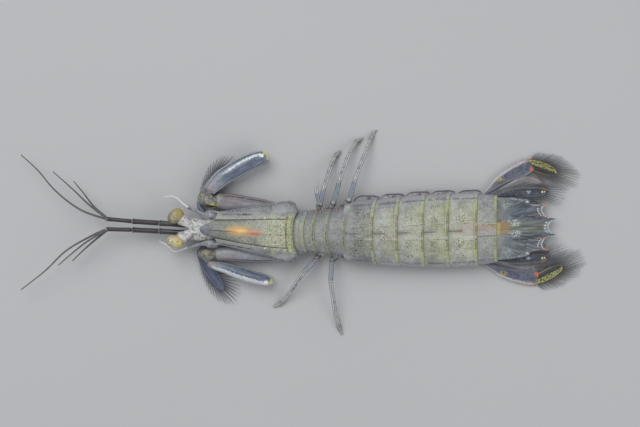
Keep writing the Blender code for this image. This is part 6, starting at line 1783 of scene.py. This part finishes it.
class BuildFeelers(bpy.types.Operator):
    """Builds the antennules with their whips, and the second antennae with their scales"""

    bl_idname = "shrimp.feelers"
    bl_label = "Feelers"

    def execute(self, context):
        limbs, hair = context.scene.shrimp_limbs, context.scene.shrimp_bristles
        dark = tuple(limbs.feeler)
        joints = [k / 14 for k in (0, 4.6, 9.6, 14)]
        stem = feeler_finish(limbs, "antennule_stem", 1, dark, (0.10, 0.09, 0.105), joints)
        whip = feeler_finish(limbs, "antennule_whip", 90, (0.10, 0.092, 0.095), (0.24, 0.23, 0.225))
        white = feeler_finish(limbs, "antenna_whip", 40, (0.80, 0.80, 0.78), (0.88, 0.88, 0.87))
        base = flesh_finish("antenna_base", (0.33, 0.35, 0.38), (0.17, 0.18, 0.20), context.scene.shrimp_shell, (0.3, 0.27, 0.3))
        tree = bristle_tree("scale_bristle_tree", bristle_finish("scale_bristles", (0.13, 0.145, 0.185), (0.36, 0.38, 0.43), hair))
        for name, side in SIDES:
            node = "antennule_" + name
            piece(node + "_stem", limb(antennule_rows(side), sides=18, steps=5), stem, [node])
            forms = []
            for path in ANTENNULE_WHIPS[name]:
                radii = np.linspace(0.34, 0.15, len(path))
                forms.append(limb([(*p, r, r) for p, r in zip(path, radii)], sides=10, steps=14))
            piece(node + "_whips", joined(forms), whip, [node])
            node = "antenna_" + name
            piece(node + "_base", limb(antenna_rows(name, side), sides=20), base, [node])
            radii = (0.36, 0.33, 0.3, 0.26, 0.14)
            rows = [(*p, r, r) for p, r in zip(ANTENNA_WHIP[name], radii)]
            piece(node + "_whip", limb(rows, sides=12, steps=12), white, [node])
            node = "antennal_scale_" + name
            share = SCALE_REACH_SHARE[name]
            blade = [(x, side * y * share, *rest) for x, y, *rest in SCALE_BLADE]
            reach = [(x, side * y * share, *rest) for x, y, *rest in SCALE_REACH]
            stalk = [(x, side * y, *rest) for x, y, *rest in SCALE_STEM]
            finish = blade_finish("antennal_scale", limbs, name, "scale")
            piece(node + "_blade", limb(stalk + blade, sides=24), finish, [node])
            roots = fringe_roots(blade, reach, 125, 0.03, 0.97, 2, 11, 32)
            grown(node + "_fringe", roots[0], roots[1], tree, bristle_sizes(hair), "tail_fan",
                  roots[2], roots[3], roots[4], [node])
        return {"FINISHED"}


class BuildClaws(bpy.types.Operator):
    """Builds the striking claws: arm, wrist, hand with its comb of teeth, and toothed finger"""

    bl_idname = "shrimp.claws"
    bl_label = "Striking claws"

    def execute(self, context):
        limbs, hair = context.scene.shrimp_limbs, context.scene.shrimp_bristles
        finger = limb_finish("claw_finger_skin", limbs, (0.56, 0.55, 0.50), (0.30, 0.29, 0.28))
        comb = bristle_tree("comb_tree", bristle_finish("comb_teeth", (0.60, 0.60, 0.58), (0.78, 0.77, 0.70), hair))
        for name, side in SIDES:
            rows = [(*place, *size) for place, size in zip(CLAW_ARM[name], CLAW_ARM_SIZES[name])]
            root = [(-6.6, side * CLAW_ROOT_Y[name], 4.3, 0.8, 0.7), (-6.9, side * 6.2, 3.7, 0.9, 0.9)]
            form = joined([limb(rows, sides=32, steps=8), limb(root, sides=16)])
            piece(f"claw_arm_{name}_skin", form, arm_finish(limbs, name), ["claw_arm_" + name])
            rows = [(*place, *size) for place, size in zip(CLAW_WRIST[name], CLAW_WRIST_SIZES[name])]
            form = limb(rows, sides=28, steps=8)
            knuckle = [np.array(CLAW_WRIST[name][2]) * (1 - t) + np.array(CLAW_HAND[name][0][:3]) * t for t in (0.0, 0.5, 1.0)]
            sizes = ((0.95, 1.0), (0.85, 0.9), (0.8, 0.8))
            form = joined([form, limb([(*p, *s) for p, s in zip(knuckle, sizes)], sides=20)])
            piece(f"claw_wrist_{name}_skin", form, wrist_finish(limbs, name), ["claw_wrist_" + name])
            rows = CLAW_HAND[name]
            piece(f"claw_hand_{name}_skin", limb(rows, sides=32, steps=8), hand_finish(limbs, name),
                  ["claw_hand_" + name])
            margin = smooth_rows(rows, 8)
            across = frames(margin)[1]
            inner = np.where(across[:, 1:2] * side > 0, -across, across)
            edge = margin[:, :3] + inner * margin[:, 3:4] * 0.86 - np.array((0, 0, 1)) * margin[:, 4:5] * 0.5
            spots = np.linspace(10, len(edge) - 6, COMB_TEETH).astype(int)
            ways = (inner[spots] * 0.55 + np.array((0, 0, -0.35))) * 0.62
            grown(f"claw_hand_{name}_comb", edge[spots], ways, comb, bristle_sizes(hair, 2.2), "claw_shell",
                  shares=np.column_stack([np.linspace(0, 1, COMB_TEETH), np.full(COMB_TEETH, 0.5)]))
            rows = CLAW_FINGER[name]
            smooth = smooth_rows(rows, 8)
            tangents, across, _ = frames(smooth)
            forms = [limb(rows, sides=16)]
            for share, reach in FINGER_TEETH:
                k = round(share * (len(smooth) - 1))
                outward = across[k] if across[k][1] * side > 0 else -across[k]
                spot = smooth[k][:3]
                forms.append(cone(spot, spot + (outward * 0.9 + tangents[k] * 0.45) * reach, 0.34, bend=-tangents[k] * 0.5))
            piece(f"claw_finger_{name}_skin", joined(forms), finger, ["claw_finger_" + name])
        return {"FINISHED"}


class BuildLegs(bpy.types.Operator):
    """Builds the walking legs with their brushes, the folded mouth limbs and the swimmerets"""

    bl_idname = "shrimp.legs"
    bl_label = "Legs and swimmerets"

    def execute(self, context):
        limbs, hair = context.scene.shrimp_limbs, context.scene.shrimp_bristles
        joints = ((1.1 / 16, 0.08), (6.4 / 16, 0.05), (10.4 / 16, 0.05), (14.0 / 16, 0.04))
        finish = limb_finish("leg_skin", limbs, joints=joints, clear=6.4 / 16)
        small = limb_finish("maxilliped_skin", limbs, (0.42, 0.39, 0.39), (0.20, 0.18, 0.19))
        leaf = limb_finish("swimmeret_skin", limbs, (0.46, 0.44, 0.47), (0.115, 0.10, 0.13))
        tree = bristle_tree("brush_tree", bristle_finish("leg_bristles", (0.30, 0.30, 0.29), (0.50, 0.50, 0.49), hair))
        for name, side in SIDES:
            for number in (1, 2, 3):
                node = f"leg_{number}_{name}"
                rows = leg_rows(name, number)
                branch = [(*p, w, w * 0.7) for p, w in zip(LEG_BRANCHES[(name, number)], (0.46, 0.55, 0.3))]
                form = joined([limb(rows, sides=16), limb(branch, sides=12)])
                piece(node + "_skin", form, finish, [node])
                brush = tuft(rows, 150, 0.95, 0.66, 20 + number)
                grown(node + "_brush", brush[0], brush[1], tree, bristle_sizes(hair, 0.8), "limb_shell",
                      brush[2], brush[3], brush[4])
            for number in (3, 4, 5):
                step = number - 3
                rear, front, y = -9.5 + 2.6 * step, -17.5 + 1.9 * step, side * (0.8 + 1.25 * step)
                rows = [
                    (rear, y, 2.4, 0.45, 0.45), (rear - 2.2, y, 1.6, 0.42, 0.45),
                    ((rear + front) / 2, y, 1.0, 0.4, 0.4), (front + 1.0, y, 0.75, 0.48, 0.5),
                    (front, y, 0.75, 0.45, 0.5),
                ]
                node = f"maxilliped_{number}_{name}"
                piece(node + "_skin", limb(rows, sides=14), small, [node])
            for number in range(1, 6):
                node = f"swimmeret_{number}_{name}"
                index = FIRST_ABDOMINAL + number - 1
                tables = (SWIMMERET_BASE, SWIMMERET_OUTER, SWIMMERET_INNER)
                leaves = [swimmeret_rows(index, name, side, table) for table in tables]
                piece(node + "_skin", joined([limb(rows, sides=16) for rows in leaves]), leaf, [node])
                reach = 2.3 if node == "swimmeret_3_right" else 0.9
                parts = [tuft(rows, 70, reach, 0.35, 40 + number, 0.5, 0.9) for rows in leaves[1:]]
                roots, ways, droops, shades, shares = (np.concatenate(part) for part in zip(*parts))
                grown(node + "_fringe", roots, ways, tree, bristle_sizes(hair, 0.7), "swimmeret",
                      droops, shades, shares)
        return {"FINISHED"}


class BuildTailFan(bpy.types.Operator):
    """Builds the tail fan: prongs, spined plates, paddles, inner blades and their fringes"""

    bl_idname = "shrimp.tail_fan"
    bl_label = "Tail fan"

    def execute(self, context):
        limbs, hair = context.scene.shrimp_limbs, context.scene.shrimp_bristles
        prong = prong_finish(limbs)
        brown, grey = tuple(hair.brown), tuple(hair.grey)
        outer_tree = bristle_tree("paddle_bristle_tree", bristle_finish("paddle_bristles", brown, grey, hair))
        inner_tree = bristle_tree("inner_bristle_tree", bristle_finish("inner_bristles", (0.13, 0.135, 0.16), grey, hair))
        beads = bead_tree("fan_bead_tree", bead_finish("fan_beads", (0.74, 0.75, 0.74), limbs))
        spines = bead_finish("fan_spines", (0.50, 0.22, 0.15), limbs)
        for name, side in SIDES:
            node = "uropod_base_" + name
            forms = [limb(splayed(name, side, rows), sides=20) for rows in (UROPOD_LONG_PRONG, UROPOD_SHORT_PRONG)]
            piece(node + "_skin", joined(forms), prong, [node])
            node = "uropod_outer_" + name
            plate = splayed(name, side, UROPOD_PLATE)
            piece(node + "_plate", limb(plate, sides=28), blade_finish("uropod_plate", limbs, name, "plate"),
                  [node])
            paddle = paddle_rows(name, side, PADDLE)
            piece(node + "_paddle", limb(paddle, sides=28), blade_finish("uropod_paddle", limbs, name, "paddle"),
                  [node])
            line = outline(plate)
            middle = np.array(plate[3][:3])
            shares = np.linspace(0.27, 0.46, 7)
            roots = spaced(line, shares if side > 0 else 1 - shares)
            away = roots - middle
            away /= np.linalg.norm(away, axis=1)[:, None]
            ways = away * 0.6 + np.array((0.8, 0.0, 0.0))
            forms = [cone(r - w * 0.5, r + w * (0.4 + 0.1 * k), 0.26) for k, (r, w) in enumerate(zip(roots, ways))]
            piece(node + "_spines", joined(forms), spines, [node])
            shares = np.linspace(0.12, 0.44, 30)
            roots = spaced(line, shares if side > 0 else 1 - shares)
            roots[:, 2] += 0.12
            grown(node + "_beads", roots, np.tile((0.0, 0.0, 0.26), (30, 1)), beads, {"Width": 0.3 * MM}, "tail_fan")
            reach = paddle_rows(name, side, PADDLE_REACH)
            roots = fringe_roots(paddle, reach, 130, 0.04, 0.96, 2, 31, 46)
            grown(node + "_fringe", roots[0], roots[1], outer_tree, bristle_sizes(hair), "tail_fan",
                  roots[2], roots[3], roots[4], [node])
            node = "uropod_inner_" + name
            rows = UROPOD_INNER[name]
            piece(node + "_blade", limb(rows, sides=24), blade_finish("uropod_inner", limbs, name, "inner"),
                  [node])
            roots = fringe_roots(rows[1:], UROPOD_INNER_REACH[name], 95, 0.02, 0.98, 2, 41, 34)
            grown(node + "_fringe", roots[0], roots[1], inner_tree, bristle_sizes(hair), "tail_fan",
                  roots[2], roots[3], roots[4], [node])
        return {"FINISHED"}


class BuildStage(bpy.types.Operator):
    """Builds the pale floor, the soft lights and the camera that looks straight down"""

    bl_idname = "shrimp.stage"
    bl_label = "Studio"

    def execute(self, context):
        scene, stage = context.scene, context.scene.shrimp_stage
        f = Finish("floor")
        place = f.node("ShaderNodeTexCoord", output=3)
        cloud = f.node("ShaderNodeTexNoise", inputs={"Vector": place, "Scale": 9.0, "Detail": 3.0})
        tint = tuple(stage.floor)
        finish = f.done(f.mix(cloud, tint, tuple(c * 0.96 for c in tint)), 0.7)
        mesh = bpy.data.meshes.new("floor")
        reach = 3.0
        corners = [(-reach, -reach, 0.0), (reach, -reach, 0.0), (reach, reach, 0.0), (-reach, reach, 0.0)]
        mesh.from_pydata(corners, [], [(0, 1, 2, 3)])
        mesh.materials.append(finish)
        floor = bpy.data.objects.new("floor", mesh)
        scene.collection.objects.link(floor)

        world = bpy.data.worlds.new("studio")
        world.use_nodes = True
        sky = world.node_tree.nodes["Background"]
        sky.inputs["Color"].default_value = (0.93, 0.96, 1.0, 1.0)
        sky.inputs["Strength"].default_value = stage.sky
        scene.world = world
        for name, place, size, power in (
            ("key", (-0.30, 0.42, 0.80), 0.70, stage.key), ("rim", (0.55, -0.35, 0.55), 0.50, stage.key * 0.3),
        ):
            light = bpy.data.lights.new(name, "AREA")
            light.shape = "SQUARE"
            light.size = size
            light.energy = power
            lamp = bpy.data.objects.new(name, light)
            lamp.location = place
            lamp.rotation_euler = (-Vector(place)).to_track_quat("-Z", "Y").to_euler()
            scene.collection.objects.link(lamp)

        lens = bpy.data.cameras.new("camera")
        lens.lens, lens.sensor_width = stage.lens, 36.0
        lens.clip_start = 0.01
        camera = bpy.data.objects.new("camera", lens)
        body = 0.006
        camera.location = (stage.centre_x, stage.centre_y, body + stage.field * stage.lens / 36.0)
        scene.collection.objects.link(camera)
        scene.camera = camera
        scene.view_settings.view_transform = "Standard"
        return {"FINISHED"}


OPERATORS = (BuildStage, BuildShells, BuildFlesh, BuildFeelers, BuildClaws, BuildLegs, BuildTailFan)
GROUPS = (
    ("shrimp_shell", ShellSettings), ("shrimp_limbs", LimbSettings),
    ("shrimp_bristles", BristleSettings), ("shrimp_stage", StageSettings),
)


class ShrimpPanel(bpy.types.Panel):
    """Lists the builders and the settings"""

    bl_idname = "VIEW3D_PT_mantis_shrimp"
    bl_label = "Mantis shrimp"
    bl_space_type = "VIEW_3D"
    bl_region_type = "UI"
    bl_category = "Mantis shrimp"

    def draw(self, context):
        for operator in OPERATORS:
            self.layout.operator(operator.bl_idname)
        for label, group in GROUPS:
            box = self.layout.box()
            for name in group.__annotations__:
                box.prop(getattr(context.scene, label), name)


def register():
    """Registers the settings, the operators and the panel."""
    for label, group in GROUPS:
        bpy.utils.register_class(group)
        setattr(bpy.types.Scene, label, PointerProperty(type=group))
    for made in (*OPERATORS, ShrimpPanel):
        bpy.utils.register_class(made)


def unregister():
    """Takes them away again."""
    for made in reversed((*OPERATORS, ShrimpPanel)):
        bpy.utils.unregister_class(made)
    for label, group in reversed(GROUPS):
        delattr(bpy.types.Scene, label)
        bpy.utils.unregister_class(group)


def main():
    """Builds the stage and the animal."""
    register()
    for made in OPERATORS:
        folder, name = made.bl_idname.split(".")
        getattr(getattr(bpy.ops, folder), name)()


if __name__ == "__main__":
    main()
